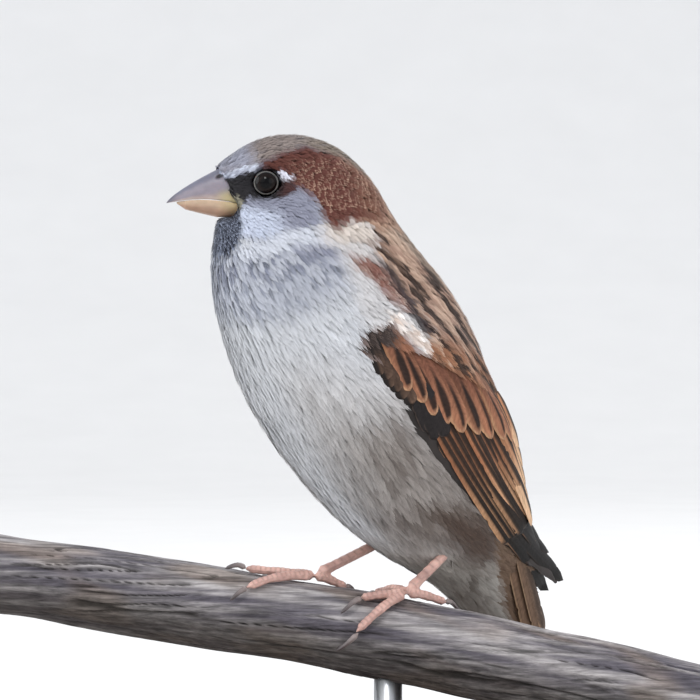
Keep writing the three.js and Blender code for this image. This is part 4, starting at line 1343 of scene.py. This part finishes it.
def make_bill():
    material = bill_surface()
    for name, upper in (("upper", True), ("lower", False)):
        sections = bill_half(upper)
        rows, around = sections.shape[:2]
        places = sections.reshape(-1, 3)
        x, z = places[:, 0], places[:, 2]
        share = np.clip((x - BILL_TIP_X) / (BILL_ROOT_X - BILL_TIP_X), 0, 1)
        _, top, gape, low = bill_lines(x)
        if upper:
            pit = nostril_depth(places)
            places[:, 1] -= np.sign(places[:, 1]) * 0.5 * pit
            rise = np.clip((z - gape) / np.maximum(top - gape, 1e-6), 0, 1)
            tint = mix(tone("888089"), tone("6b6a78"), smooth((rise - 0.45) / 0.5)[:, None])
            tint = mix(tint, tone("55535f"), (smooth((0.16 - share) / 0.16) * 0.8)[:, None])
            tint = mix(tint, tone("b59f92"), smooth((0.3 - rise) / 0.25)[:, None] * 0.7)
            yellow = smooth((share - 0.6) / 0.25) * smooth((0.42 - rise) / 0.3)
            tint = mix(tint, tone("bbac74"), 0.75 * yellow[:, None])
            # Painted shade: the nostril pit is darkened as a hole in shadow.
            tint = mix(tint, tone("1e1a1d"), smooth(pit * 1.6)[:, None])
        else:
            drop = np.clip((gape - z) / np.maximum(gape - low, 1e-6), 0, 1)
            tint = mix(tone("c0a58b"), tone("a5836d"), smooth((drop - 0.2) / 0.5)[:, None])
            tint = mix(tint, tone("c9b47e"), (0.8 * smooth((share - 0.62) / 0.3) * (1 - drop))[:, None])
            tint = mix(tint, tone("8a6f68"), (smooth((0.14 - share) / 0.14) * 0.6)[:, None])
        tint = tint * (1 + 0.06 * grain(places, 1.6, 30))[:, None]
        ends = np.concatenate([places[:around].mean(0)[None], places[-around:].mean(0)[None]])
        count = len(places)
        ring = np.arange(around)
        after = (ring + 1) % around
        root_end = np.stack([ring + count - around, after + count - around, np.full(around, count + 1)], 1)
        tip_end = np.stack([after, ring, np.full(around, count)], 1)
        mesh = new_mesh(f"bill_{name}_horn", pose(np.concatenate([places, ends])),
                        [grid_faces(rows, around), root_end, tip_end])
        store(mesh, "tint", np.concatenate([tint, tint[:1], tint[-1:]]))
        weld(mesh)
        finished(new_object(f"bill_{name}_horn", mesh, material), f"bill_{name}", f"bill_{name}")


def make_claws():
    """The eight claws as curved horn, darker towards the point."""
    surface = Surface("Claw horn", roughness=0.32)
    tint = surface.attribute("tint").outputs["Color"]
    growth = surface.noise(surface.places(), 1500.0, 3.0)
    surface.coloured(surface.times(tint, surface.spans(growth, 0.3, 0.7, 0.85, 1.12)))
    surface.relief(growth, 0.2, 0.04)
    names = [toe.replace("toe", "claw") for toe in TOES]
    mesh = grown_union(names, 0.1, 0.11)
    places, edges = places_of(mesh), edges_of(mesh)
    places = relaxed(places, edges, 6)
    for toe, name in zip(TOES, names):
        low, high = (np.array(corner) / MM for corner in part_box(name))
        mine = ((places > low - 0.4) & (places < high + 0.4)).all(1)
        start = np.mean([np.array(corner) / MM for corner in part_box(toe)], axis=0)
        away = np.linalg.norm(places[mine] - start, axis=1)
        far = (away - away.min()) / max(np.ptp(away), 1e-6)
        if name == names[0]:
            shade = np.zeros(len(places))
        shade[mine] = far
    colour = mix(tone("8d807c"), tone("4b4344"), smooth(shade)[:, None])
    mesh.vertices.foreach_set("co", (places * MM).astype(np.float32).ravel())
    mesh.update()
    mesh.polygons.foreach_set("use_smooth", np.full(len(mesh.polygons), True))
    store(mesh, "tint", colour)
    finished(new_object("claws", mesh, surface.material), "claw", *names)


# ---- Branch and stand ----------------------------------------------------------------------------

BRANCH_LENGTH = 156
BRANCH_RADIUS = 8.8
BRANCH_SWELL = 0.004


def branch_centre(x):
    return np.stack([x, -3.5 - 0.1 * x, 42.6 - 0.184 * x - 0.0004 * x * x], -1)


def branch_radius(x, angle):
    ridges = 0.22 * np.sin(5 * angle + 0.05 * x) + 0.12 * np.sin(9 * angle - 0.09 * x + 1)
    bends = 0.2 * np.sin(0.11 * x + 2 * angle) + 0.15 * np.sin(0.23 * x + 1.3)
    return BRANCH_RADIUS + BRANCH_SWELL * x + ridges + bends


def wood_fibres(x, angle, radius):
    """Relief of the weathered wood, about -1 to 1: long ridges, with cracks cut between them."""
    around = np.stack([radius * np.cos(angle), radius * np.sin(angle)], 1)
    wind = 0.011 * x
    c, s = np.cos(wind), np.sin(wind)
    around = np.stack([c * around[:, 0] - s * around[:, 1], s * around[:, 0] + c * around[:, 1]], 1)
    ridges = np.zeros(len(x))
    for size, stretch, weight, seed in ((2.6, 26, 0.45, 1), (1.2, 18, 0.35, 2), (0.6, 12, 0.2, 3)):
        at = np.column_stack([x / stretch * size, around])
        ridges += weight * grain(at, size, seed)
    lines = grain(np.column_stack([x / 15, around]), 1.9, 7)
    crack = smooth((0.16 - np.abs(lines)) / 0.15) * smooth((grain(np.column_stack([x / 3, around]), 7.0, 8) + 0.25) / 0.4)
    return ridges, crack


def make_branch():
    rows, columns = 420, 205
    x = np.repeat(np.linspace(-0.5, 0.5, rows) * BRANCH_LENGTH, columns)
    angle = np.tile(np.linspace(0, 2 * np.pi, columns, False), rows)
    radius = branch_radius(x, angle)
    ridges, crack = wood_fibres(x, angle, radius)
    end = smooth((BRANCH_LENGTH / 2 - np.abs(x)) / 0.8)
    radius = radius + 0.32 * ridges - 0.7 * crack - 0.5 * (1 - end)
    out = np.stack([np.zeros(len(x)), -np.sin(angle), np.cos(angle)], 1)
    places = branch_centre(x) + radius[:, None] * out
    colour = mix(tone("5b575e"), tone("a8a3a2"), smooth(0.5 + 1.1 * ridges)[:, None])
    patch = grain(np.column_stack([x / 2.5, out[:, 1:] * 9]), 5.0, 12)
    colour = mix(colour, tone("8a7a6c"), (0.5 * smooth(patch + 0.1))[:, None])
    # Painted shade: the wood is darker on its underside, where the branch shades itself.
    under = smooth((-out[:, 2] + 0.35) / 0.9)
    colour = mix(colour, tone("38322c"), 0.75 * under[:, None])
    # Painted shade: the cracks are darkened as well as cut into the wood.
    colour = mix(colour, tone("2b2723"), 0.75 * crack[:, None])
    faces = [grid_faces(rows, columns)]
    extra, tints = [], []
    for sign, ring_start in ((-1, 0), (1, (rows - 1) * columns)):
        first = len(places) + sum(len(e) for e in extra)
        rim = places[ring_start : ring_start + columns]
        centre = branch_centre(np.array([sign * BRANCH_LENGTH / 2]))[0]
        shares = np.linspace(0.94, 0.06, 16)
        rings = centre + shares[:, None, None] * (rim - centre)
        rings[..., 0] += 0.12 * np.sin(rings[..., 2] * 2.3) * (1 - shares[:, None])
        extra.append(np.concatenate([rings.reshape(-1, 3), centre[None]]))
        growth = 0.5 + 0.5 * np.sin(shares * 26)
        shade = mix(tone("b59f83"), tone("8d755b"), np.repeat(growth, columns)[:, None])
        split = smooth((0.12 - np.abs(np.sin(np.tile(angle[:columns], 16) * 1.5 + 0.6))) / 0.1)
        shade = mix(shade, tone("4d3f32"), 0.7 * split[:, None])
        tints.append(np.concatenate([shade, shade[-1:]]))
        net = grid_faces(16, columns, first=first)
        ring = np.arange(columns)
        after = (ring + 1) % columns
        joint = np.stack([ring_start + ring, ring_start + after, first + after, first + ring], 1)
        fan = np.stack([first + 15 * columns + ring, first + 15 * columns + after, np.full(columns, first + 16 * columns)], 1)
        faces += [net, joint, fan]
    mesh = new_mesh("branch", np.concatenate([places, *extra]), faces)
    store(mesh, "tint", np.concatenate([colour, *tints]))
    weld(mesh)
    surface = Surface("Weathered wood", roughness=0.85, specular_ior_level=0.2)
    tint = surface.attribute("tint").outputs["Color"]
    fibre = surface.noise(surface.places((0.06, 1.0, 1.0)), 1500.0, 5.0, 0.65)
    dust = surface.noise(surface.places(), 500.0, 4.0)
    lines = surface.noise(surface.places((0.03, 1.0, 1.0)), 850.0, 4.0, 0.6)
    tint = surface.times(tint, surface.spans(fibre, 0.3, 0.7, 0.5, 1.42))
    tint = surface.times(tint, surface.spans(lines, 0.36, 0.5, 0.55, 1.0))
    tint = surface.times(tint, surface.spans(dust, 0.3, 0.7, 0.9, 1.1))
    surface.coloured(tint).relief(lines, 0.7, 0.5).relief(fibre, 0.8, 0.3)
    finished(new_object("branch", mesh, surface.material), "bark", "perch_branch")


def turned(name, profile, centre, columns=96):
    """A mesh turned round a vertical line from radii and heights."""
    angle = np.linspace(0, 2 * np.pi, columns, False)
    rings = [np.stack([centre[0] + r * np.cos(angle), centre[1] + r * np.sin(angle), np.full(columns, z)], 1)
             for r, z in profile]
    mesh = new_mesh(name, np.concatenate(rings), [grid_faces(len(profile), columns)])
    weld(mesh)
    return mesh


def make_stand():
    """The rod in its sockets, with a collar at its foot, and the plinth."""
    low, high = (np.array(corner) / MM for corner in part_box("stand_rod"))
    centre, radius = (low + high)[:2] / 2, (high - low)[0] / 2
    base_low, base_high = (np.array(corner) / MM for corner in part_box("stand_base"))
    top = base_high[2]
    collar = [(0, low[2]), (radius, low[2]), (radius, top), (radius + 2.4, top + 0.02), (radius + 2.6, top + 0.3),
              (radius + 2.5, top + 0.9), (radius + 0.9, top + 1.5), (radius + 0.5, top + 2.2), (radius, top + 2.4),
              (radius, high[2] - 0.3), (radius - 0.3, high[2]), (0, high[2])]
    steel = Surface("Brushed steel", metallic=1.0, roughness=0.32)
    brushing = steel.noise(steel.places((1.0, 1.0, 0.03)), 5200.0, 3.0)
    steel.coloured(steel.times(tone("b9bbbd"), steel.spans(brushing, 0.3, 0.7, 0.88, 1.06)))
    steel.relief(brushing, 0.12, 0.03)
    rod = turned("stand_rod_steel", collar, centre)
    finished(new_object("stand_rod_steel", rod, steel.material), "steel", "stand_rod")
    make_plinth(base_low, base_high)


PLINTH_CORNER = 14
PLINTH_EDGE = 1.4


def make_plinth(low, high):
    corner, columns = PLINTH_CORNER, 40
    half = (high - low)[:2] / 2
    centre = (high + low)[:2] / 2
    outline = []
    for sx, sy, start in ((1, 1, 0), (-1, 1, 90), (-1, -1, 180), (1, -1, 270)):
        for step in range(columns):
            a = math.radians(start + 90 * step / (columns - 1))
            outline.append((sx * (half[0] - corner), sy * (half[1] - corner), math.cos(a), math.sin(a)))
    outline = np.array(outline)
    rows = [(0.0, low[2])]
    rows += [(corner - 0.5 + 0.5 * math.sin(a), low[2] + 0.5 - 0.5 * math.cos(a)) for a in np.linspace(0, 1.57, 4)]
    rows += [(corner - PLINTH_EDGE * (1 - math.cos(a)), high[2] - PLINTH_EDGE * (1 - math.sin(a)))
             for a in np.linspace(0, 1.57, 8)]
    rows.append((0.0, high[2]))
    rings = []
    for reach, z in rows:
        x = centre[0] + outline[:, 0] + reach * outline[:, 2]
        y = centre[1] + outline[:, 1] + reach * outline[:, 3]
        rings.append(np.stack([x, y, np.full(len(x), z)], 1))
    count, around = len(rings), len(outline)
    middle = np.array([[*centre, low[2]], [*centre, high[2]]])
    ring = np.arange(around)
    after = (ring + 1) % around
    total = count * around
    lids = [np.stack([after, ring, np.full(around, total)], 1),
            np.stack([ring + total - around, after + total - around, np.full(around, total + 1)], 1)]
    mesh = new_mesh("stand_base_wood", np.concatenate([*rings, middle]), [grid_faces(count, around), *lids])
    weld(mesh)
    wood = Surface("Plinth wood", roughness=0.42)
    wood.shader.inputs["Coat Weight"].default_value = 0.25
    at = wood.places((1.0, 7.0, 7.0))
    rings_in = wood.noise(at, 22.0, 4.0)
    pores = wood.noise(wood.places((1.0, 22.0, 22.0)), 170.0, 3.0)
    tint = wood.mixed(tone("4a3121"), tone("6f4c33"), wood.spans(rings_in, 0.35, 0.65))
    wood.coloured(wood.times(tint, wood.spans(pores, 0.3, 0.7, 0.8, 1.12))).relief(pores, 0.15, 0.08)
    finished(new_object("stand_base_wood", mesh, wood.material), "plinth", "stand_base")


# ---- Vanes: the feathers of the wings and the tail ------------------------------------------------

# Places across a vane, from its outer edge at -1 to its inner edge at 1, closer at edges and shaft.
ACROSS = np.array([-1, -0.965, -0.89, -0.78, -0.62, -0.42, -0.2, -0.05, 0.05, 0.2, 0.42, 0.62, 0.78, 0.89, 0.965, 1])
VANE_THICKNESS = 0.09


class Vanes:
    """Feathers with a shaft and a closed vane, gathered into one piece."""

    def __init__(self, seed):
        self.dice = np.random.default_rng(seed)
        self.places, self.faces, self.tints, self.barbs, self.flat = [], [], [], [], []
        self.first = 0

    def add(self, middle, normals, inner, half, look, taper=0.75, tip=2.2, camber=0.16, split=0.5):
        """One feather along the points middle. inner points to its inner edge, half is its half width."""
        dice = self.dice
        rows = len(middle)
        t = np.linspace(0, 1, rows)
        length = np.linalg.norm(np.diff(middle, axis=0), axis=1).sum()
        swell = np.minimum(1, (t / 0.3 + 0.12)) ** 0.6 * mix(taper, 1, smooth(t / 0.8))
        point = half / length * (1 + 1.2 * max(0.0, 1.7 - tip))
        round_tip = np.clip((t - 1 + point) / point, 0, 1)
        width = half * swell * np.sqrt(np.maximum(1 - round_tip**tip, 0))
        width[0] = width[-1] = 0
        notch = np.zeros((rows, len(ACROSS)))
        for edge in (-1, 1):
            for _ in range(3):
                if dice.random() < split:
                    row = dice.integers(rows // 3, rows - 2)
                    depth = dice.uniform(0.08, 0.24)
                    notch[row] += depth * np.clip((np.abs(ACROSS) - 0.6) / 0.4, 0, 1) * (ACROSS * edge > 0)
        s = ACROSS[None, :] * (1 - notch)
        arch = camber * half * (1 - ACROSS**2) + 0.05 * np.exp(-((ACROSS / 0.09) ** 2))
        arch = arch[None, :] * smooth(t / 0.1)[:, None] * (width / half)[:, None]
        top = middle[:, None] + inner[:, None] * (s * width[:, None])[..., None] + normals[:, None] * arch[..., None]
        thin = VANE_THICKNESS * np.where(width > 0, 1, 0)[:, None] * np.sqrt(1 - ACROSS**2 * 0.96)
        low = top - normals[:, None] * thin[..., None]
        ring = np.concatenate([top, low[:, -2:0:-1]], 1)
        columns = ring.shape[1]
        s_ring = np.concatenate([ACROSS, ACROSS[-2:0:-1]])
        s_all, t_all = np.tile(s_ring, rows), np.repeat(t, columns)
        faces = grid_faces(rows, columns, first=self.first)
        below = np.tile(np.arange(columns) >= len(ACROSS) - 1, rows - 1)
        corner_s, corner_t = s_all[faces - self.first], t_all[faces - self.first]
        u = np.where(below[:, None], 0.97 - 0.22 * (corner_s + 1), 0.03 + 0.22 * (corner_s + 1))
        self.flat.append(np.stack([u, 0.04 + 0.92 * corner_t], -1))
        self.places.append(ring.reshape(-1, 3))
        self.faces.append(faces)
        colour = look(s_all, t_all, length, half, dice)
        for pace, strength in ((9.0, 0.1), (23.0, 0.08)):
            colour = colour * (1 + strength * np.sin(pace * s_all + 1.5 * t_all + dice.uniform(0, 7)))[:, None]
        self.tints.append(colour * math.exp(dice.normal(0, 0.06)))
        slant = t_all * length - 0.85 * np.abs(s_all) * half
        self.barbs.append(np.stack([slant * 1.6, s_all * half * 0.9, np.full(len(s_all), 9.7 * len(self.barbs))], 1))
        self.first += len(s_all)

    def finish(self, name, slot, material, place=pose, replaced=()):
        """The gathered feathers as one piece, each with its own part of the bake map."""
        count = len(self.flat)
        wide = math.ceil(math.sqrt(count))
        high = math.ceil(count / wide)
        for index, flat in enumerate(self.flat):
            corner = np.array([index % wide, index // wide])
            self.flat[index] = (flat + corner) / (wide, high)
        mesh = new_mesh(name, place(np.concatenate(self.places)), [np.concatenate(self.faces)])
        layer = mesh.uv_layers.new(name="OFBake")
        layer.uv.foreach_set("vector", np.concatenate(self.flat).astype(np.float32).ravel())
        store(mesh, "tint", np.concatenate(self.tints))
        store(mesh, "barb", np.concatenate(self.barbs), "FLOAT_VECTOR")
        weld(mesh)
        return finished(new_object(name, mesh, material), slot, *replaced)


def vane_surface():
    """Smooth vanes: the painted tint with fine slanting barbs."""
    surface = Surface("Vane", roughness=0.62, specular_ior_level=0.16)
    barb = surface.noise(surface.attribute("barb").outputs["Vector"], 1.0, 2.5, 0.6)
    broad = surface.noise(surface.places(), 240.0, 3.0)
    tint = surface.attribute("tint").outputs["Color"]
    tint = surface.times(tint, surface.spans(barb, 0.25, 0.75, 0.68, 1.28))
    tint = surface.times(tint, surface.spans(broad, 0.3, 0.7, 0.93, 1.07))
    return surface.coloured(tint).relief(barb, 0.5, 0.12).material


def edged(s, centre, edge, outer=0.85, inner=0.93, blur=0.14):
    """A centre colour with an edge colour beyond the given shares of the outer and inner halves."""
    share = smooth((-s - outer) / blur + 0.5) + smooth((s - inner) / blur + 0.5)
    return mix(centre, edge, np.clip(share, 0, 1)[:, None])


def primary(s, t, length, half, dice):
    tint = mix(tone("3a312b"), tone("242221"), smooth((t - 0.4) / 0.3)[:, None])
    pale = mix(tone("a37a5e"), tone("332c28"), smooth((t - 0.55) / 0.2)[:, None])
    return edged(s, tint, pale, 0.84, 1.1)


def secondary(s, t, length, half, dice):
    tint = mix(tone("33261f"), tone("281f1a"), smooth((t - 0.4) / 0.3)[:, None])
    tint = mix(tint, tone("1f1b19"), smooth((t - 0.9) / 0.06)[:, None])
    buff = mix(tone("8b5d42"), tone("b48a68"), smooth((t - 0.35) / 0.4)[:, None]) * dice.uniform(0.8, 1.15)
    buff = mix(buff, tone("43352d"), smooth((t - 0.93) / 0.04)[:, None])
    return edged(s, tint, buff, 0.4 + 0.2 * dice.random(), 1.1, 0.3)


def tertial(s, t, length, half, dice):
    edge = mix(tone("ac7a59"), tone("dfb792"), smooth((t - 0.4) / 0.4)[:, None])
    tint = edged(s, tone("211a17")[None] + 0 * s[:, None], edge, 0.12, 0.72, 0.35)
    return mix(tint, tone("8a6c56"), smooth((t - 0.96) / 0.03)[:, None])


def greater_covert(s, t, length, half, dice):
    red = mix(tone("6d4636"), tone("97674e"), smooth((t - 0.3) / 0.5)[:, None]) * dice.uniform(0.85, 1.1)
    wide = mix(0.08, 0.22 + 0.26 * dice.random(), smooth((t - 0.3) / 0.4))
    dark = smooth((wide - np.abs(s - 0.3)) / 0.3 + 0.5) * smooth((0.97 - t) / 0.06) * smooth((t - 0.25) / 0.25)
    tint = mix(red, tone("1f1715"), 0.95 * dark[:, None])
    pale = smooth((t + 0.08 * s**2 - 0.93) / 0.07)
    tint = mix(tint, tone("b08a6b"), 0.7 * pale[:, None])
    return edged(s, tint, mix(tone("82533a"), tone("b58b69"), smooth(t)[:, None]), 0.75, 1.1, 0.5)


def alula(s, t, length, half, dice):
    return edged(s, tone("242020")[None] + 0 * s[:, None], tone("453a34"), 0.9, 1.1)


def edge_covert(s, t, length, half, dice):
    tint = mix(tone("2b2320"), tone("4a392f"), smooth((t - 0.3) / 0.4)[:, None])
    tint = mix(tint, tone("6b5547"), smooth((t + 0.15 * s**2 - 0.86) / 0.1)[:, None] * 0.5)
    return edged(s, tint, tone("211c1a"), 0.2, 1.1, 0.5)


def rectrix(s, t, length, half, dice):
    tint = mix(tone("6e5746"), tone("4a3b31"), smooth((s + 0.4) / 1.2)[:, None])
    return edged(s, tint, tone("94795f"), 0.86, 1.1)


# Each row of wing feathers: how many, where they root and where they end as x and z of the straight
# bird's side view from the lower edge of the wing to the back, half widths, look, lift at root and at
# tip, the further lift from the first to the last of the row, rows of the mesh, how round the tips
# are, and the bow of the feathers as a share of their length.
WING_ROWS = [
    (6, [(0, 82), (5, 85), (10, 88)], [(44.0, 49.3), (46.2, 50.1), (44.6, 53.6), (42.4, 57.6), (39.0, 61.0), (36.0, 64.0)],
     (1.3, 2.4), primary, -1.1, -0.5, 0.2, 36, 1.0, -0.03),
    (9, [(-4.6, 90.2), (3, 91.6), (9, 92.2)], [(25.4, 60.8), (29.0, 63.2), (33.0, 66.6)],
     (1.5, 1.9), secondary, -0.55, 0.0, 0.5, 36, 1.3, -0.04),
    (3, [(-9.5, 96.6), (-7.5, 96.6), (-5.5, 96.0)], [(-2.6, 85.4), (-0.6, 83.4), (1.6, 84.2)],
     (1.4, 1.7), alula, -0.3, 0.05, 0.3, 24, 1.6, 0.0),
    (5, [(8.5, 91.5), (12.2, 92.6), (15.6, 93), (19.0, 93.2)], [(31.8, 64.6), (30.4, 69.6), (27.6, 75.6), (25.2, 80.4)],
     (2.6, 3.0), tertial, -0.4, 0.4, 0.4, 36, 1.5, 0.01),
    (6, [(-17.6, 105.4), (-15.2, 103.0), (-12.6, 100.4)], [(-14.0, 97.4), (-11.0, 94.0), (-7.2, 91.0)],
     (1.4, 1.6), edge_covert, -0.9, 0.1, 0.2, 18, 1.7, 0.0),
    (9, [(-16.4, 110.0), (-10.9, 105.4), (-2.9, 102.8), (5.6, 101.6), (11.6, 101.0)],
     [(-8.0, 93.6), (-1.4, 88.4), (4.6, 85.2), (12.4, 83.6), (21.2, 82.4)],
     (2.0, 2.4), greater_covert, -1.5, 0.35, 0.35, 34, 1.05, 0.01),
]


def on_line(points, share):
    """The place at a share of the way along a line of points."""
    points = np.asarray(points, float)
    steps = np.concatenate([[0], np.cumsum(np.linalg.norm(np.diff(points, axis=0), axis=1))])
    return np.array([np.interp(share * steps[-1], steps, points[:, k]) for k in (0, 1)])


CROSSING_TIPS = 4.5  # how far from the middle the wing tips end over the tail


class SideView:
    """The straight bird's outline as seen from one side."""

    def __init__(self, sign):
        self.sign = sign
        self.tree = tree_of(body.straight, body.triangles)

    def cast(self, x, z):
        return self.tree.ray_cast((x, self.sign * 60.0, z), (0, -self.sign, 0))

    def laid(self, root, tip, rows, lifts, bow=0.0):
        """A feather's middle line on the outline, with normals and the way to its inner edge."""
        t = np.linspace(0, 1, rows)
        across = np.array([-(tip - root)[1], (tip - root)[0]])
        line = root + t[:, None] * (tip - root) + (bow * np.sin(np.pi * t))[:, None] * across
        depth, normal, seen = [], [], []
        for share, (x, z) in zip(t, line.tolist()):
            hit, out, _, _ = self.cast(x, z)
            if hit is not None and abs(out.y) > 0.15:
                depth.append(hit.y)
                normal.append(np.array(out) * np.sign(out.y * self.sign))
                seen.append(share)
        fit = np.polyfit(seen, depth, 3 if len(seen) > 0.8 * rows else 1)
        y = np.polyval(fit, np.minimum(t, seen[-1]))
        beyond = smooth((t - seen[-1]) / (1.02 - seen[-1]))
        y = mix(y, self.sign * min(abs(y[-1]), CROSSING_TIPS), beyond)
        middle = np.stack([line[:, 0], y, line[:, 1]], 1)
        slope = [np.polyval(np.polyfit(seen, np.array(normal)[:, k], 1), t) for k in range(3)]
        normals = unit(np.stack(slope, 1))
        tangent = unit(np.gradient(middle, axis=0))
        inner = unit(np.cross(normals, tangent))
        inner *= np.sign(inner[:, 0] * TO_BACK[0] + inner[:, 2] * TO_BACK[1])[:, None]
        normals = unit(np.cross(tangent, inner))
        normals *= np.sign(normals[:, 1] * self.sign)[:, None]
        return middle + normals * mix(*lifts, t)[:, None], normals, inner


FAR_WING_LOWER = 2.0  # the far wing is held this much lower on the back


def make_wings(material):
    for side, sign in zip(SIDES, (-1, 1)):
        view = SideView(sign)
        vanes = Vanes(60 + sign)
        for count, roots, tips, halves, look, low, high, further, rows, roundness, bow in WING_ROWS:
            for index in range(count):
                share = index / (count - 1)
                low_held = FAR_WING_LOWER * (sign > 0) * TO_BACK
                root = on_line(roots, share) - 0.3 * low_held + vanes.dice.normal(0, 0.12, 2)
                tip = on_line(tips, share) - low_held + vanes.dice.normal(0, 0.16, 2)
                lift = further * share
                middle, normals, inner = view.laid(root, tip, rows, (low + lift, high + lift), bow)
                vanes.add(middle, normals, inner, mix(*halves, share), look, tip=roundness)
        vanes.finish(f"wing_feathers_{side}", "plumage_wing", material, replaced=(f"wing_{side}",))


# ---- Tail ----------------------------------------------------------------------------------------

TAIL_ROOT = np.array([30.6, 0, 70.0])
TAIL_SLOPE = math.radians(79)
TAIL_DOWN = np.array([math.cos(TAIL_SLOPE), 0, -math.sin(TAIL_SLOPE)])
TAIL_BACK = np.array([math.sin(TAIL_SLOPE), 0, math.cos(TAIL_SLOPE)])
TAIL_LENGTH = 57
TAIL_PAIRS = 6


def make_tail(material):
    vanes = Vanes(90)
    t = np.linspace(0, 1, 40)[:, None]
    for pair in range(TAIL_PAIRS - 1, -1, -1):
        for sign in (-1, 1):
            spread_at_tip = sign * (0.9 + 0.98 * pair)
            length = TAIL_LENGTH - 1.4 + 0.24 * pair
            y = mix(sign * (0.3 + 0.32 * pair), spread_at_tip, t**0.9)
            back = 1.5 - 0.2 * pair - 0.8 * (y / 7.4) ** 2 + 0.05 * sign
            middle = TAIL_ROOT + TAIL_DOWN * (t * length - 3) + TAIL_BACK * back + np.array([0, 1.0, 0]) * y
            tangent = unit(np.gradient(middle, axis=0))
            normals = unit(TAIL_BACK + np.array([0, 0.10 * spread_at_tip, 0]) + 0 * middle)
            inner = -sign * unit(np.cross(normals, tangent)) * np.sign(np.cross(normals, tangent)[:, 1:2])
            vanes.add(middle, normals, inner, 1.75 + 0.06 * pair, rectrix, taper=0.7, tip=2.4, camber=0.1)
    for sign in (-1, 1):
        for share in (0.0, 0.33, 0.67, 1.0):
            root, tip = on_line([(24.6, 62), (30.6, 62)], share), on_line([(35.0, 38.6), (40.0, 41.0)], share)
            line = root + t * (tip - root)
            y = sign * (mix(9.3, 5.3, t) * (1 - 0.2 * (2 * share - 1) ** 2) + 0.15 * share)
            middle = np.concatenate([line[:, :1], y, line[:, 1:]], 1)
            normals = unit(np.array([0, 1.0 * sign, 0]) + TAIL_BACK * mix(-0.4, 0.7, share) + 0 * middle)
            tangent = unit(np.gradient(middle, axis=0))
            inner = unit(np.cross(normals, tangent))
            inner *= np.sign(inner @ TAIL_BACK)[:, None]
            vanes.add(middle, normals, inner, 2.3, rectrix, taper=0.8, tip=1.6, camber=0.1)
    vanes.finish("tail_feathers", "plumage_dark", material, replaced=("tail",))


body = Body()
make_skin()
make_coat()
vane_material = vane_surface()
make_wings(vane_material)
make_tail(vane_material)
make_eyes()
make_bill()
make_claws()
make_branch()
make_stand()


# ---- Stage, lights and camera --------------------------------------------------------------------


def make_stage():
    """A pale floor that curves up into a pale backdrop."""
    profile = [(-3.5, 0.0), (1.5, 0.0)]
    profile += [(1.5 + 0.9 * math.sin(a), 0.9 - 0.9 * math.cos(a)) for a in np.linspace(0.1, 1.5708, 14)]
    profile.append((2.4, 3.4))
    places, faces = [], []
    for y, z in profile:
        places += [(-4.0 / MM, y / MM, z / MM), (4.0 / MM, y / MM, z / MM)]
    for row in range(len(profile) - 1):
        faces.append((2 * row, 2 * row + 1, 2 * row + 3, 2 * row + 2))
    surface = Surface("Studio paper", roughness=0.9)
    pale = surface.noise(surface.places(), 30.0, 2.0)
    surface.coloured(surface.mixed(tone("e6e5e3"), tone("ecebe9"), pale))
    new_object("studio_floor", new_mesh("studio_floor", places, [faces]), surface.material)


def area_light(name, at, size, power, colour):
    light = bpy.data.lights.new(name, "AREA")
    light.shape = "DISK"
    light.size = size
    light.energy = power
    light.color = colour
    lamp = bpy.data.objects.new(name, light)
    bpy.context.scene.collection.objects.link(lamp)
    lamp.location = at
    lamp.rotation_mode = "QUATERNION"
    lamp.rotation_quaternion = (Vector((0, 0, 0.1)) - lamp.location).to_track_quat("-Z", "Y")


AIM = (0.0, 0.0, 0.1017)
CAMERA_AWAY = 1.4
CAMERA_RISE = math.radians(1.5)
FRAME_WIDTH = 0.1474  # at the bird
SENSOR = 36.0


def make_camera_and_lights():
    view = bpy.data.cameras.new("camera")
    view.sensor_width = SENSOR
    view.lens = SENSOR * CAMERA_AWAY / FRAME_WIDTH
    camera = bpy.data.objects.new("camera", view)
    bpy.context.scene.collection.objects.link(camera)
    away = Vector((0, -math.cos(CAMERA_RISE), math.sin(CAMERA_RISE)))
    camera.location = Vector(AIM) + away * CAMERA_AWAY
    camera.rotation_mode = "QUATERNION"
    camera.rotation_quaternion = (-away).to_track_quat("-Z", "Y")
    bpy.context.scene.camera = camera
    area_light("key", (-1.1, -1.2, 1.15), 2.0, 6.0, (1.0, 0.99, 0.97))
    area_light("catch_light", (-0.25, -1.05, 1.4), 0.5, 8.5, (1.0, 1.0, 1.0))
    area_light("side", (-1.7, 0.15, 0.6), 1.4, 12.5, (0.92, 0.97, 1.0))
    area_light("fill", (1.5, -1.2, 0.7), 1.8, 8.0, (0.97, 0.98, 1.0))
    area_light("rim", (0.7, 0.9, 1.3), 0.9, 11.0, (1.0, 1.0, 1.0))
    world = bpy.data.worlds.new("world")
    world.use_nodes = True
    world.node_tree.nodes["Background"].inputs["Color"].default_value = (0.9, 0.93, 1.0, 1.0)
    world.node_tree.nodes["Background"].inputs["Strength"].default_value = 0.79
    bpy.context.scene.world = world
    bpy.context.scene.view_settings.view_transform = "Standard"


make_stage()
make_camera_and_lights()
